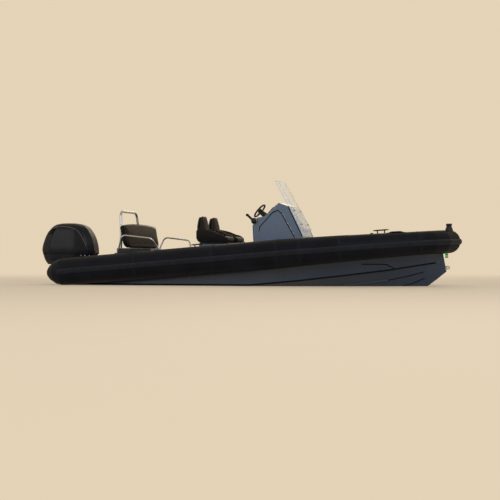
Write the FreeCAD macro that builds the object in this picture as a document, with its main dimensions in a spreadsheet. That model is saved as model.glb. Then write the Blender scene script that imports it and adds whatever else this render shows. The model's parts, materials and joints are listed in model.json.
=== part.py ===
import FreeCAD, Part
import math
import os
import Sketcher
from FreeCAD import Placement, Rotation, Vector

# Rigid inflatable boat with a console, two helm seats, an aft bench and one outboard engine.
# X runs forward, Y to port and Z up. The origin is on the centre-line at the waterline, amidships.

# Driving dimensions: name and value, lengths in millimetres and angles in degrees.
DIMENSIONS = (
    # Inflatable collar
    ("tube_rad", 255), ("bow_tube_rad", 205), ("tube_offset", 1100), ("tube_aft_x", -3350),
    ("taper_aft_x", 900), ("bow_start_x", 1300), ("taper_fore_x", 3250),
    ("bow_arc_rad", 3900), ("bow_arc_deg", 30), ("nose_arc_deg", 42),
    ("tube_mid_z", 506.5), ("sheer_deg", 4.43), ("cone_len", 300), ("cone_tip_rad", 80),
    ("strake_high", 100), ("strake_proud", 25), ("strake_gap", 0.8), ("seat_gap", 0.3),
    # Hull, liner and transom
    ("chine_flat", 45), ("spray_rail_ratio", 0.04), ("stem_rake", 0.188), ("sole_z", 200),
    ("coaming_ratio", 0.84), ("wall_thick", 125), ("coaming_wide", 45),
    ("hull_aft_x", -3250), ("transom_thick", 60), ("transom_top_z", 455), ("engine_notch_z", 255),
    ("engine_notch_half", 330),
    ("transom_keel_z", -395), ("transom_chine_z", -10), ("transom_side_gap", 16),
    # Bow locker and lid
    ("locker_aft_x", 2250), ("locker_fore_x", 3000), ("locker_top_z", 560), ("locker_wall", 30),
    ("lid_thick", 35), ("lid_margin", 12),
    # Bow post, cleats, eyes and lights
    ("post_ahead", 4), ("post_top_z", 1114), ("post_rad", 62), ("post_neck_rad", 44), ("post_cap_high", 26),
    ("cleat_long", 280), ("cleat_post_gap", 180), ("cleat_high", 105), ("cleat_bar_rad", 13),
    ("cleat_post_rad", 11), ("light_rad", 22), ("light_back", 38), ("light_y", 26), ("light_low_z", 508),
    ("eye_hole_rad", 14), ("eye_thick", 14), ("eye_rad", 34), ("bow_eye_x", 3702), ("bow_eye_z", 330),
    ("stern_eye_y", 620), ("stern_eye_z", 130), ("stern_eye_reach", 45),
    # Console
    ("console_half", 390), ("console_fore_x", 1120), ("console_aft_x", 212), ("console_nose_x", 1136),
    ("console_nose_z", 883), ("console_brow_x", 860), ("console_brow_z", 1452), ("console_top_x", 673),
    ("console_top_z", 1519), ("console_dash_x", 402), ("console_dash_z", 1274), ("console_wheel_x", 250),
    ("console_wheel_z", 1247), ("console_lip_x", 167), ("console_lip_z", 1105), ("console_chamfer", 24),
    ("groove_deep", 12), ("groove_wide", 22), ("dash_thick", 14), ("dash_half", 320), ("dash_inset", 60),
    # Windscreen
    ("screen_low_x", 1135), ("screen_low_z", 1030), ("screen_top_x", 628), ("screen_top_z", 1930),
    ("screen_low_half", 345), ("screen_top_half", 300), ("screen_wing", 70), ("screen_sweep", 45),
    ("screen_thick", 9), ("fixing_rad", 13), ("fixing_y", 222),
    # Wheel and throttle
    ("wheel_x", 225), ("wheel_y", -100), ("wheel_z", 1388), ("wheel_tilt_deg", 40), ("wheel_rad", 155),
    ("wheel_rim_rad", 14), ("wheel_hub_rad", 42), ("column_rad", 16), ("column_base_rad", 70), ("column_long", 250),
    ("hub_deep", 34),
    ("shaft_gap", 0.05), ("run_gap", 6), ("throttle_x", 212), ("throttle_z", 1188), ("throttle_rad", 58),
    ("throttle_deep", 52), ("lever_long", 165),
    # Helm seats
    ("seat_y", 300), ("pod_half", 205), ("pod_top_z", 770), ("seat_half", 255), ("seat_aft_x", -905),
    ("seat_fore_x", -270), ("cushion_top_z", 935), ("seat_back_z", 1290), ("seat_low_z", 780),
    ("bolster_wide", 70), ("bolster_aft_z", 1043), ("bolster_fore_z", 975),
    # Aft bench
    ("bench_half", 715), ("bench_aft_x", -2420), ("bench_fore_x", -1700), ("bench_seat_z", 540),
    ("bench_lid_aft_x", -2140), ("bench_shelf_z", 695), ("bench_wall", 30), ("bench_lid_thick", 20),
    ("bench_pad_thick", 118), ("back_half", 750), ("back_top_z", 1160),
    ("back_low_x", -2150), ("back_top_x", -2240), ("back_thick", 132), ("back_round", 120),
    # Ski-tow bow and side rails
    ("ski_rad", 25), ("ski_top_z", 1430), ("ski_top_half", 366), ("ski_x", -2500), ("ski_foot_half", 460),
    ("ski_knee_x", -2460), ("ski_knee_half", 430), ("ski_knee_z", 950),
    ("ski_bend", 110), ("rail_rad", 16), ("rail_bend", 100), ("flange_rad", 38), ("flange_thick", 8),
    # Outboard engine
    ("tilt_x", -3350), ("tilt_z", 305), ("tilt_pin_rad", 16), ("steer_x", -3490), ("clamp_half", 165),
    ("clamp_ear", 35), ("swivel_post_rad", 56), ("pilot_rad", 20), ("swivel_low_z", -150),
    ("swivel_top_z", 350), ("leg_root_x", -3640), ("plate_z", -390), ("prop_z", -580), ("prop_rad", 172),
    ("prop_hub_rad", 54),
    ("prop_hub_long", 150), ("prop_fore_x", -4026), ("prop_shaft_rad", 14), ("torpedo_rad", 66),
    ("torpedo_nose_x", -3520), ("skeg_low_z", -850), ("pan_low_z", 385), ("cowl_low_z", 600),
    ("cowl_thick", 9), ("power_half", 150),
)


def make_sheet(document):
    """Writes the driving dimensions into a spreadsheet, one row each, and returns it."""
    sheet = document.addObject("Spreadsheet::Sheet", "dims")
    for row, (name, value) in enumerate(DIMENSIONS, start=1):
        sheet.set(f"A{row}", name)
        sheet.set(f"B{row}", str(value))
        sheet.setAlias(f"B{row}", name)
    document.recompute()
    return sheet


doc = FreeCAD.newDocument("rigid_inflatable_boat")
dims = make_sheet(doc)
outputs = {}


def size(name):
    """Returns one driving dimension from the sheet."""
    return float(dims.get(name))


# Helpers that bind sketches and features to the sheet

def value_of(expression):
    """Works out an expression over the sheet's names, for a sketch's first shape."""
    names = {name: size(name) for name, _ in DIMENSIONS}
    for name in sorted(names, key=len, reverse=True):
        expression = expression.replace("dims." + name, repr(names[name]))
    total = FreeCAD.Units.parseQuantity(expression)
    return float(total.Value)


def sheet_terms(expression):
    """Adds the sheet's prefix to each dimension named in an expression."""
    words = []
    names = {name for name, _ in DIMENSIONS}
    for word in expression.replace("(", "( ").replace(")", " )").split():
        words.append("dims." + word if word in names else word)
    return " ".join(words)


def origin_plane(body, role):
    """Returns one of a body's own origin planes."""
    return [part for part in body.Origin.OriginFeatures if part.Role == role][0]


def outline_sketch(body, role, outline, name="outline"):
    """Draws a closed outline whose corners are bound to expressions, one pair for each corner."""
    sketch = body.newObject("Sketcher::SketchObject", name)
    sketch.AttachmentSupport = [(origin_plane(body, role), "")]
    sketch.MapMode = "FlatFace"
    terms = [(sheet_terms(across), sheet_terms(along)) for across, along in outline]
    places = [Vector(value_of(across), value_of(along), 0) for across, along in terms]
    count = len(places)
    for index, place in enumerate(places):
        sketch.addGeometry(Part.LineSegment(place, places[(index + 1) % count]), False)
    for index in range(count):
        sketch.addConstraint(Sketcher.Constraint("Coincident", index, 2, (index + 1) % count, 1))
    for index, (across, along) in enumerate(terms):
        for kind, term, reach in (("DistanceX", across, places[index].x),
                                  ("DistanceY", along, places[index].y)):
            rule = sketch.addConstraint(Sketcher.Constraint(kind, -1, 1, index, 1, reach))
            sketch.setExpression(f"Constraints[{rule}]", term)
    return sketch


def put_at(item, place):
    """Binds an object's place to three expressions."""
    for axis, term in zip("xyz", place):
        item.setExpression(f"Placement.Base.{axis}", sheet_terms(term))


def prism(label, role, outline, length, place=("0", "0", "0"), symmetric=False):
    """Makes a body from one padded outline and returns the body and its pad."""
    body = doc.addObject("PartDesign::Body", label)
    body.Label = label
    pad = body.newObject("PartDesign::Pad", "pad")
    pad.Profile = outline_sketch(body, role, outline)
    pad.SideType = "Symmetric" if symmetric else "One side"
    pad.setExpression("Length", sheet_terms(length))
    put_at(body, place)
    doc.recompute()
    return body, pad


def pocket(body, role, outline, length, symmetric=False, backwards=False, lift=None):
    """Cuts an outline out of a body, from a sketch lifted off its plane."""
    before = body.Shape.Volume
    sketch = outline_sketch(body, role, outline, "cut_outline")
    if lift:
        sketch.setExpression("AttachmentOffset.Base.z", sheet_terms(lift))
    cut = body.newObject("PartDesign::Pocket", "cut")
    cut.Profile = sketch
    cut.SideType = "Symmetric" if symmetric else "One side"
    cut.Reversed = backwards
    cut.setExpression("Length", sheet_terms(length))
    doc.recompute()
    if not body.Shape.Volume < before - 1:
        raise ValueError(f"{body.Label}: the cut took nothing away")
    return cut


def round_edges(body, base, radius, chosen, kind="PartDesign::Fillet", name="rounding"):
    """Rounds or chamfers the edges of a feature that a test picks."""
    edges = [f"Edge{index}" for index, edge in enumerate(base.Shape.Edges, start=1) if chosen(edge)]
    feature = body.newObject(kind, name)
    feature.Base = (base, edges)
    feature.setExpression("Radius" if kind.endswith("Fillet") else "Size", sheet_terms(radius))
    doc.recompute()
    return feature


def runs_along(axis):
    """Returns a test for straight edges that run along one axis."""
    def test(edge):
        if edge.Curve.TypeId != "Part::GeomLine":
            return False
        return abs(edge.tangentAt(edge.FirstParameter).dot(axis)) > 0.999
    return test


ALONG_X, ALONG_Y, ALONG_Z = Vector(1, 0, 0), Vector(0, 1, 0), Vector(0, 0, 1)


def set_feature(label, shape):
    """Keeps a shape made by Part's functions as a document object."""
    item = doc.addObject("Part::Feature", label)
    item.Label = label
    item.Shape = shape
    return item


def keep(node, item):
    """Names the object that is written as a node."""
    outputs[node] = item


def group(label, items):
    """Puts like pieces that don't touch into one compound."""
    compound = doc.addObject("Part::Compound", label)
    compound.Label = label
    compound.Links = items
    doc.recompute()
    return compound


# Helpers for shapes

def polygon(points):
    """Closes a list of points into a wire."""
    return Part.makePolygon([*points, points[0]])


def loft(wires):
    """Lofts sections into a solid with straight rules between them, right side out."""
    solid = Part.makeLoft(wires, True, True)
    if solid.Volume < 0:
        solid.reverse()
    return solid


def port_twin(shape):
    """Mirrors a starboard shape to port."""
    return shape.mirror(Vector(0, 0, 0), ALONG_Y)


def cylinder(radius, start, end):
    """Makes a cylinder between two points."""
    run = end - start
    return Part.makeCylinder(radius, run.Length, start, run)


def bent_tube(points, bend, radius):
    """Bends a round tube along straight runs joined by tangent arcs."""
    edges = []
    last = points[0]
    for before, corner, after in zip(points, points[1:], points[2:]):
        back = (before - corner).normalize()
        ahead = (after - corner).normalize()
        half_turn = (math.pi - back.getAngle(ahead)) / 2
        cut_back = bend * math.tan(half_turn)
        start = corner + back * cut_back
        end = corner + ahead * cut_back
        middle_way = (back + ahead).normalize()
        middle = corner + middle_way * (bend / math.cos(half_turn) - bend)
        edges.append(Part.LineSegment(last, start).toShape())
        edges.append(Part.Arc(start, middle, end).toShape())
        last = end
    edges.append(Part.LineSegment(last, points[-1]).toShape())
    path = Part.Wire(edges)
    ring = Part.Wire(Part.makeCircle(radius, points[0], points[1] - points[0]))
    return path.makePipeShell([ring], True, True)


def row_at(table, place):
    """Reads a table of rows at a place between two of them, by its first column."""
    for low, high in zip(table, table[1:]):
        if low[0] <= place <= high[0]:
            share = (place - low[0]) / (high[0] - low[0])
            return tuple(first + share * (second - first) for first, second in zip(low, high))
    raise ValueError(f"no row at {place}")


# Collar: its centre-line in plan is a straight run, a bow arc and a nose arc that ends at the centre-line

SHEER = math.tan(math.radians(size("sheer_deg")))
SEAT_GAP = size("seat_gap")


def tube_radius(place_x):
    """Returns the collar's radius, which tapers towards the bow."""
    span = size("taper_fore_x") - size("taper_aft_x")
    share = min(max((place_x - size("taper_aft_x")) / span, 0), 1)
    return size("tube_rad") + share * (size("bow_tube_rad") - size("tube_rad"))


def collar_stations():
    """Lists the collar's starboard stations as centre, outward direction and radius, from aft."""
    bow_turn = math.radians(size("bow_arc_deg"))
    nose_turn = math.radians(size("nose_arc_deg"))
    bow_rad = size("bow_arc_rad")
    nose_start_x = size("bow_start_x") + bow_rad * math.sin(bow_turn)
    nose_start_y = size("tube_offset") - bow_rad * (1 - math.cos(bow_turn))
    last_turn = bow_turn + nose_turn
    nose_rad = nose_start_y / (math.cos(bow_turn) - math.cos(last_turn))
    plan = [(place_x, size("tube_offset"), 0) for place_x in
            (size("tube_aft_x"), size("taper_aft_x"), size("bow_start_x"))]
    gores = 3
    for step in range(1, gores + 1):
        turn = bow_turn * step / gores
        plan.append((size("bow_start_x") + bow_rad * math.sin(turn),
                     size("tube_offset") - bow_rad * (1 - math.cos(turn)), turn))
    for step in range(1, gores + 1):
        turn = bow_turn + nose_turn * step / gores
        plan.append((nose_start_x + nose_rad * (math.sin(turn) - math.sin(bow_turn)),
                     nose_start_y - nose_rad * (math.cos(bow_turn) - math.cos(turn)), turn))
    stations = []
    for index, (place_x, place_y, turn) in enumerate(plan):
        if index == len(plan) - 1:
            turn = math.pi / 2
        centre = Vector(place_x, -place_y, size("tube_mid_z") + SHEER * place_x)
        stations.append((centre, Vector(math.sin(turn), -math.cos(turn), 0), tube_radius(place_x)))
    return stations


STATIONS = collar_stations()
STRAIGHT_COUNT = 3


def ring_normal(outward):
    """Returns the collar's running direction at a station, square to outward and along the sheer."""
    level = Vector(-outward.y, outward.x, 0)
    if abs(level.x) < 1e-9:
        return level
    return Vector(level.x, level.y, SHEER * level.x).normalize()


def collar_run(stations, extra=0):
    """Lofts the collar through some stations, with its radius grown by an amount."""
    return loft([Part.Wire(Part.makeCircle(radius + extra, centre, ring_normal(outward)))
                 for centre, outward, radius in stations])


def collar_envelope():
    """Makes the room that the collar takes up on the hull, on both sides."""
    first_centre, outward, radius = STATIONS[0]
    overrun = 60
    lead = (first_centre - Vector(overrun, 0, overrun * SHEER), outward, radius)
    starboard = collar_run([lead, *STATIONS], SEAT_GAP)
    return [starboard, port_twin(starboard)]


def make_collar():
    """Makes the side tubes, the bow tubes, the aft cones and the rubbing strake."""
    side = collar_run(STATIONS[:STRAIGHT_COUNT])
    bow = collar_run(STATIONS[STRAIGHT_COUNT - 1:])
    aft_centre, outward, radius = STATIONS[0]
    # Cone sections: share of its length, share of the way from the tube's radius to the tip's
    cone_rows = ((0, 0), (0.42, 0.2), (0.8, 0.62), (1, 1))
    rings = []
    for along, narrowing in cone_rows:
        shift = Vector(-1, 0, -SHEER).normalize() * (along * size("cone_len"))
        ring_rad = radius + narrowing * (size("cone_tip_rad") - radius)
        rings.append(Part.Wire(Part.makeCircle(ring_rad, aft_centre + shift, ring_normal(outward))))
    cone = loft(rings)
    for name, shape in (("tube_side", side), ("tube_bow", bow), ("tube_cone", cone)):
        keep(f"{name}_starboard", set_feature(f"{name}_starboard", shape))
        keep(f"{name}_port", set_feature(f"{name}_port", port_twin(shape)))
    starboard = [strake_section(*station) for station in STATIONS]
    port = [strake_section(Vector(centre.x, -centre.y, centre.z), Vector(outward.x, -outward.y, 0), radius)
            for centre, outward, radius in reversed(STATIONS[:-1])]
    keep("rub_strake", set_feature("rub_strake", loft(starboard + port)))


def strake_section(centre, outward, radius):
    """Draws the rubbing strake's section at a station: an arc on the tube and a ribbed face."""
    inner = radius + size("strake_gap")
    half = size("strake_high") / 2
    lean = math.asin(half / inner)

    def on_tube(angle):
        return centre + outward * (inner * math.cos(angle)) + ALONG_Z * (inner * math.sin(angle))

    def proud(reach, height):
        return centre + outward * (radius + reach) + ALONG_Z * height

    full, part_way = size("strake_proud"), size("strake_proud") * 0.45
    outer = [proud(part_way, half * 0.86), proud(full, half * 0.5),
             proud(full, -half * 0.5), proud(part_way, -half * 0.86)]
    edges = [Part.Arc(on_tube(-lean), on_tube(0), on_tube(lean)).toShape()]
    points = [on_tube(lean), *outer, on_tube(-lean)]
    edges += [Part.LineSegment(first, second).toShape() for first, second in zip(points, points[1:])]
    return Part.Wire(edges)


# Hull sections from aft: place, keel height, chine half-breadth and height, half-breadth and height where
# the topside meets the tube, then the liner's floor, knee and the well's half-breadths and heights

HULL_ROWS = (
    # x, keel_z, chine_y, chine_z, side_y, side_z, floor_y, floor_z, knee_y, knee_z, sole_y, well_y
    (size("hull_aft_x"), -400, 960, 0, 920, 75, 760, 60, 795, 150, 745, 752),
    (300, -400, 960, 0, 920, 350, 760, 60, 795, 150, 745, 752),
    (1200, -400, 920, 83, 924, 423, 745, 60, 795, 200, 735, 752),
    (2000, -385, 780, 177, 870, 500, 560, 60, 720, 240, 640, 678),
    (2700, -300, 550, 266, 675, 568, 290, 60, 490, 300, 365, 448),
    (3100, -150, 345, 333, 505, 605, 90, 60, 280, 360, 140, 240),
)
BOW_ROWS = (
    HULL_ROWS[4],
    HULL_ROWS[5],
    (3370, 20, 200, 379, 298, 630, 50, 220, 120, 430, 50, 80),
    (3520, 135, 85, 402, 92, 643, 20, 330, 34, 480, 20, 30),
)
# Stem outline: half-breadth and height, from the forefoot up to the tube
STEM_ROWS = ((0, 260), (14, 400), (18, 412), (18, 612), (12, 662))
STEM_FOOT_X = 3676


def both_sides(half):
    """Mirrors a half section's (y, z) points, keel first, into a closed section."""
    return [*half, *[(-across, height) for across, height in reversed(half) if across > 0]]


def section_wire(place_x, half):
    """Draws a section across the boat from its half outline."""
    return polygon([Vector(place_x, across, height) for across, height in both_sides(half)])


def ledge_height(row):
    """Returns the height of the hull's ledge beside the tube's middle."""
    return row[5] + 0.7 * tube_radius(row[0])


def hull_half(row, with_rails):
    """Lists a hull section's half outline from the keel to the ledge."""
    _, keel_z, chine_y, chine_z, side_y, side_z = row[:6]
    inner_y = chine_y - size("chine_flat") * chine_y / 960
    slope = (chine_z - keel_z) / inner_y
    points = [(0, keel_z)]
    if with_rails:
        rail_wide = size("spray_rail_ratio") * chine_y
        for share in (0.4, 0.7):
            rail_y = share * inner_y
            rail_z = keel_z + slope * rail_y
            points += [(rail_y, rail_z), (rail_y + rail_wide, rail_z),
                       (rail_y + rail_wide, rail_z + slope * rail_wide)]
    points += [(inner_y, chine_z), (chine_y, chine_z), (side_y + 15, side_z + 35),
               (side_y - 60, ledge_height(row))]
    return points


def liner_half(row, gap):
    """Lists the liner's half outline with a gap to the hull, from its floor to the coaming's top."""
    place_x, _, _, _, side_y, _, floor_y, floor_z, knee_y, knee_z = row[:10]
    ledge_z = ledge_height(row)
    radius = tube_radius(place_x)
    nose_share = min(1, side_y / 300)
    inner_y = side_y - size("wall_thick") * nose_share
    ledge_y = max(side_y - 60, inner_y + 8)
    top_z = ledge_z + size("coaming_ratio") * radius
    top_y = side_y + 0.25 * radius + 120 * (1 - nose_share)
    return [(0, floor_z - gap), (floor_y + gap, floor_z - gap), (knee_y + gap, knee_z),
            (inner_y + gap, ledge_z - gap), (ledge_y, ledge_z - gap), (top_y, top_z)]


def well_half(row, gap=0, floor_gap=0):
    """Lists the half outline of the well between the liner's walls, from the sole up."""
    sole_y, well_y = row[10:12]
    knee_z = row[9]
    ledge_z = ledge_height(row)
    over_z = ledge_z + 400
    top_y = row[4] - size("wall_thick") - size("coaming_wide")
    floor_z = size("sole_z") + floor_gap
    return [(0, floor_z), (sole_y - gap, floor_z),
            (well_y - gap, max(knee_z, size("sole_z") + 40)), (top_y - gap, ledge_z),
            (top_y - gap, over_z)]


def liner_block(gap):
    """Lofts the room that the deck liner takes up in the hull."""
    rows = [*HULL_ROWS, *BOW_ROWS[2:]]
    return loft([section_wire(row[0], liner_half(row, gap)) for row in rows])


def make_hull(tube_room):
    """Makes the deep-V hull with its spray rails, chines and stem."""
    aft = loft([section_wire(row[0], hull_half(row, True)) for row in HULL_ROWS[:5]])
    bow_wires = [section_wire(row[0], hull_half(row, False)) for row in BOW_ROWS]
    rake = size("stem_rake")
    stem = [Vector(STEM_FOOT_X - rake * (height - STEM_ROWS[0][1]), across, height)
            for across, height in both_sides(STEM_ROWS)]
    bow = loft([*bow_wires, polygon(stem)])
    hull = aft.fuse(bow).cut([liner_block(SEAT_GAP), *tube_room])
    hull = largest(hull)
    keep("hull", set_feature("hull", hull))
    return hull


def largest(shape):
    """Returns the largest solid of a cut's result."""
    return max(shape.Solids, key=lambda solid: solid.Volume)


def make_liner(tube_room):
    """Makes the deck liner: its sole, well walls, coaming and foredeck."""
    well = loft([section_wire(row[0], well_half(row)) for row in
                 (stretched_row(HULL_ROWS[0], -3400), *HULL_ROWS[1:])])
    liner = largest(liner_block(0).cut([well, *tube_room]))
    keep("deck_liner", set_feature("deck_liner", liner))
    return liner


def stretched_row(row, place_x):
    """Returns a row moved to another place."""
    return (place_x, *row[1:])


def make_transom():
    """Makes the transom board, with the notch that the engine hangs in."""
    side = "tube_offset - tube_rad - transom_side_gap"
    half = (("0", "transom_keel_z"), ("950", "transom_chine_z"), ("900", "60"), ("840", "140"),
            (side, "300"), (side, "transom_top_z"), ("engine_notch_half", "transom_top_z"),
            ("engine_notch_half - 40", "engine_notch_z"))
    port = [(f"0 - ( {across} )", along) for across, along in reversed(half[1:])]
    body, _ = prism("transom", "YZ_Plane", [*half, *port], "transom_thick",
                    ("hull_aft_x - transom_thick", "0", "0"))
    keep("transom", body)


# Bow fittings

def make_bow_locker():
    """Makes the bow locker, open at the top under its lid."""
    rows = [row_at(HULL_ROWS, place) for place in (size("locker_aft_x"), 2700, size("locker_fore_x"))]

    def block(inset, low, high, fore_inset=0):
        wires = []
        for row in rows:
            place_x = row[0]
            if row is rows[0]:
                place_x += fore_inset
            if row is rows[-1]:
                place_x -= fore_inset
            outline = well_half(row_at(HULL_ROWS, place_x), inset, low - size("sole_z"))
            wires.append(section_wire(place_x, outline))
        slab = Part.makeBox(3000, 3000, high - low, Vector(1500, -1500, low))
        return loft(wires).common(slab)

    wall = size("locker_wall")
    top = size("locker_top_z")
    outer = block(3, size("sole_z") + SEAT_GAP, top)
    inner = block(3 + wall, size("sole_z") + wall, top + wall, wall)
    keep("bow_locker", set_feature("bow_locker", largest(outer.cut(inner))))
    lid_low = top + SEAT_GAP
    lid = block(size("lid_margin"), lid_low, lid_low + size("lid_thick"))
    keep("bow_locker_lid", set_feature("bow_locker_lid", largest(lid)))


def make_bow_post(tube_room):
    """Makes the mooring post on the bow tube: a foot, a waisted neck and a cap."""
    centre_x, top = STATIONS[-1][0].x + size("post_ahead"), size("post_top_z")
    foot_z = top - 140
    cap_z = top - size("post_cap_high")
    # Profile rows: radius, height
    profile = ((0, foot_z), (size("post_rad") + 14, foot_z), (size("post_rad"), foot_z + 50),
               (size("post_neck_rad"), cap_z - 18), (size("post_rad") - 6, cap_z),
               (size("post_rad") - 12, top), (0, top))
    face = Part.Face(polygon([Vector(centre_x + reach, 0, height) for reach, height in profile]))
    post = face.revolve(Vector(centre_x, 0, 0), ALONG_Z, 360)
    post = largest(Part.Solid(post).cut(tube_room) if post.ShapeType == "Shell" else post.cut(tube_room))
    keep("bow_post", set_feature("bow_post", post))


def coaming_top(place_x):
    """Returns the height of the coaming's top at a place."""
    low = None
    for row, following in zip(HULL_ROWS, HULL_ROWS[1:]):
        if row[0] <= place_x <= following[0]:
            low, high = row, following
            break
    share = (place_x - low[0]) / (high[0] - low[0])
    heights = [ledge_height(row) + size("coaming_ratio") * tube_radius(row[0]) for row in (low, high)]
    return heights[0] + share * (heights[1] - heights[0])


def make_cleats(liner, tube_room):
    """Makes four horn cleats on the coaming, in one node."""
    # Cleat rows: x, half-breadth, turn towards the bow in degrees
    rows = ((2640, 704, -21), (-720, 850, 0))
    cleats = []
    for place_x, half, turn in rows:
        base_z = coaming_top(place_x) - 1
        for side in (-1, 1):
            cleat = horn_cleat()
            cleat.rotate(Vector(0, 0, 0), ALONG_Y, -math.degrees(math.atan(SHEER)))
            cleat.rotate(Vector(0, 0, 0), ALONG_Z, side * turn)
            cleat.translate(Vector(place_x, side * half, base_z))
            cleats.append(largest(cleat.cut([liner, *tube_room])))
    keep("cleats", set_feature("cleats", Part.makeCompound(cleats)))


def horn_cleat():
    """Makes one cleat: a bar with tapered horns over two posts on a foot plate."""
    half = size("cleat_long") / 2
    post_half = size("cleat_post_gap") / 2
    bar_z = size("cleat_high") - size("cleat_bar_rad")
    bar_rad = size("cleat_bar_rad")
    profile = ((-half, 0), (-half, bar_rad * 0.45), (-post_half, bar_rad), (post_half, bar_rad),
               (half, bar_rad * 0.45), (half, 0))
    face = Part.Face(polygon([Vector(along, 0, bar_z + reach) for along, reach in profile]))
    cleat = face.revolve(Vector(0, 0, bar_z), ALONG_X, 360)
    foot = Part.makeBox(size("cleat_post_gap") + 50, 46, 7, Vector(-post_half - 25, -23, 0))
    pieces = [foot]
    for side in (-1, 1):
        start = Vector(side * post_half * 0.7, 0, 0)
        pieces.append(cylinder(size("cleat_post_rad"), start, start + Vector(0, 0, bar_z)))
    return cleat.fuse(pieces).removeSplitter()


def make_eyes(hull):
    """Makes the bow eye on the stem and two stern eyes on the transom."""
    thick = size("eye_thick")
    reach = size("eye_rad")
    centre = Vector(size("bow_eye_x"), -thick / 2, size("bow_eye_z"))
    bow = Part.makeCylinder(reach, thick, centre, ALONG_Y)
    bow = bow.fuse(Part.makeBox(90, thick, 2 * reach, centre + Vector(-90, 0, -reach)))
    bow = bow.cut([hull, Part.makeCylinder(size("eye_hole_rad"), thick, centre, ALONG_Y)])
    keep("bow_eye", set_feature("bow_eye", largest(bow)))
    aft_face = size("hull_aft_x") - size("transom_thick") - SEAT_GAP
    eyes = []
    for side in (-1, 1):
        centre = Vector(aft_face - size("stern_eye_reach"), side * size("stern_eye_y"),
                        size("stern_eye_z") - thick / 2)
        plate = Part.makeBox(8, 90, 100, Vector(aft_face - 8, side * size("stern_eye_y") - 45,
                                                size("stern_eye_z") - 50))
        lug = Part.makeCylinder(reach, thick, centre, ALONG_Z)
        lug = lug.fuse(Part.makeBox(size("stern_eye_reach"), 2 * reach, thick, centre + Vector(0, -reach, 0)))
        hole = Part.makeCylinder(size("eye_hole_rad"), thick, centre, ALONG_Z)
        eyes.append(lug.cut(hole).fuse(plate).removeSplitter())
    keep("stern_eyes", set_feature("stern_eyes", Part.makeCompound(eyes)))


def make_bow_lights(tube_room):
    """Makes the two side lights under the bow tube."""
    for side, name in ((-1, "starboard"), (1, "port")):
        low = Vector(STATIONS[-1][0].x - size("light_back"), side * size("light_y"), size("light_low_z"))
        lamp = Part.makeCylinder(size("light_rad"), 90, low, ALONG_Z)
        lamp = lamp.cut(tube_room)
        lamp = min(lamp.Solids, key=lambda solid: solid.CenterOfMass.z)
        keep(f"side_light_{name}", set_feature(f"side_light_{name}", lamp))


# Console, windscreen, wheel and throttle

CONSOLE_OUTLINE = (
    ("console_aft_x", "sole_z + seat_gap"), ("console_fore_x", "sole_z + seat_gap"),
    ("console_nose_x", "console_nose_z"), ("console_brow_x", "console_brow_z"),
    ("console_top_x", "console_top_z"), ("console_dash_x", "console_dash_z"),
    ("console_wheel_x", "console_wheel_z"), ("console_lip_x", "console_lip_z"),
    ("console_lip_x + 14", "console_lip_z - 266"),
)
# The groove on each side: an upside-down V with a flat top, as outer corners; it is one band wide
GROOVE_OUTLINE = (
    ("290", "1000"), ("300", "1085"), ("555", "1350"), ("660", "1392"), ("745", "1330"), ("1010", "850"),
    ("1010 - groove_wide", "850 - 11"), ("745 - groove_wide", "1330 - 14"),
    ("660 - 4", "1392 - groove_wide"), ("555 + 11", "1350 - groove_wide"),
    ("300 + groove_wide", "1085 - 8"), ("290 + groove_wide", "1000"),
)


def make_console():
    """Makes the faceted console with a groove on each side, and its dash panel."""
    body, pad = prism("console", "XZ_Plane", CONSOLE_OUTLINE, "2 * console_half", symmetric=True)

    def side_edge(edge):
        centre = edge.CenterOfMass
        on_side = abs(abs(centre.y) - size("console_half")) < 1e-3
        return on_side and centre.z > size("sole_z") + 10

    chamfer = round_edges(body, pad, "console_chamfer", side_edge, "PartDesign::Chamfer", "facets")
    body.Tip = chamfer
    doc.recompute()
    pocket(body, "XZ_Plane", GROOVE_OUTLINE, "groove_deep", backwards=False, lift="console_half")
    pocket(body, "XZ_Plane", GROOVE_OUTLINE, "groove_deep", backwards=True, lift="0 - console_half")
    keep("console", body)
    return body.Shape


def point(name):
    """Returns a console corner in the middle plane from its name."""
    return Vector(size(name + "_x"), 0, size(name + "_z"))


def make_dash(console):
    """Makes the instrument panel on the console's aft-facing brow."""
    low, high = point("console_dash"), point("console_top")
    along = (high - low).normalize()
    out = Vector(-along.z, 0, along.x)
    inset = size("dash_inset")
    start = low + along * inset + out * SEAT_GAP
    end = high - along * inset + out * SEAT_GAP
    thick = size("dash_thick")
    half = Vector(0, size("dash_half"), 0)
    corners = [start, end, end + out * thick - along * 6, start + out * thick + along * 6]
    panel = Part.Face(polygon([corner - half for corner in corners])).extrude(half * 2)
    keep("dash_panel", set_feature("dash_panel", panel))


def screen_section(centre_x, height, half, inset):
    """Lists the windscreen's outline at one level: a middle pane and two swept wings."""
    thick = size("screen_thick")
    wing, sweep = size("screen_wing"), size("screen_sweep")
    outer = [Vector(centre_x - sweep, -half, height), Vector(centre_x, -(half - wing), height),
             Vector(centre_x, half - wing, height), Vector(centre_x - sweep, half, height)]
    inner = [Vector(corner.x - thick, corner.y * (1 - inset / half), height) for corner in reversed(outer)]
    return polygon(outer + inner)


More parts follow.
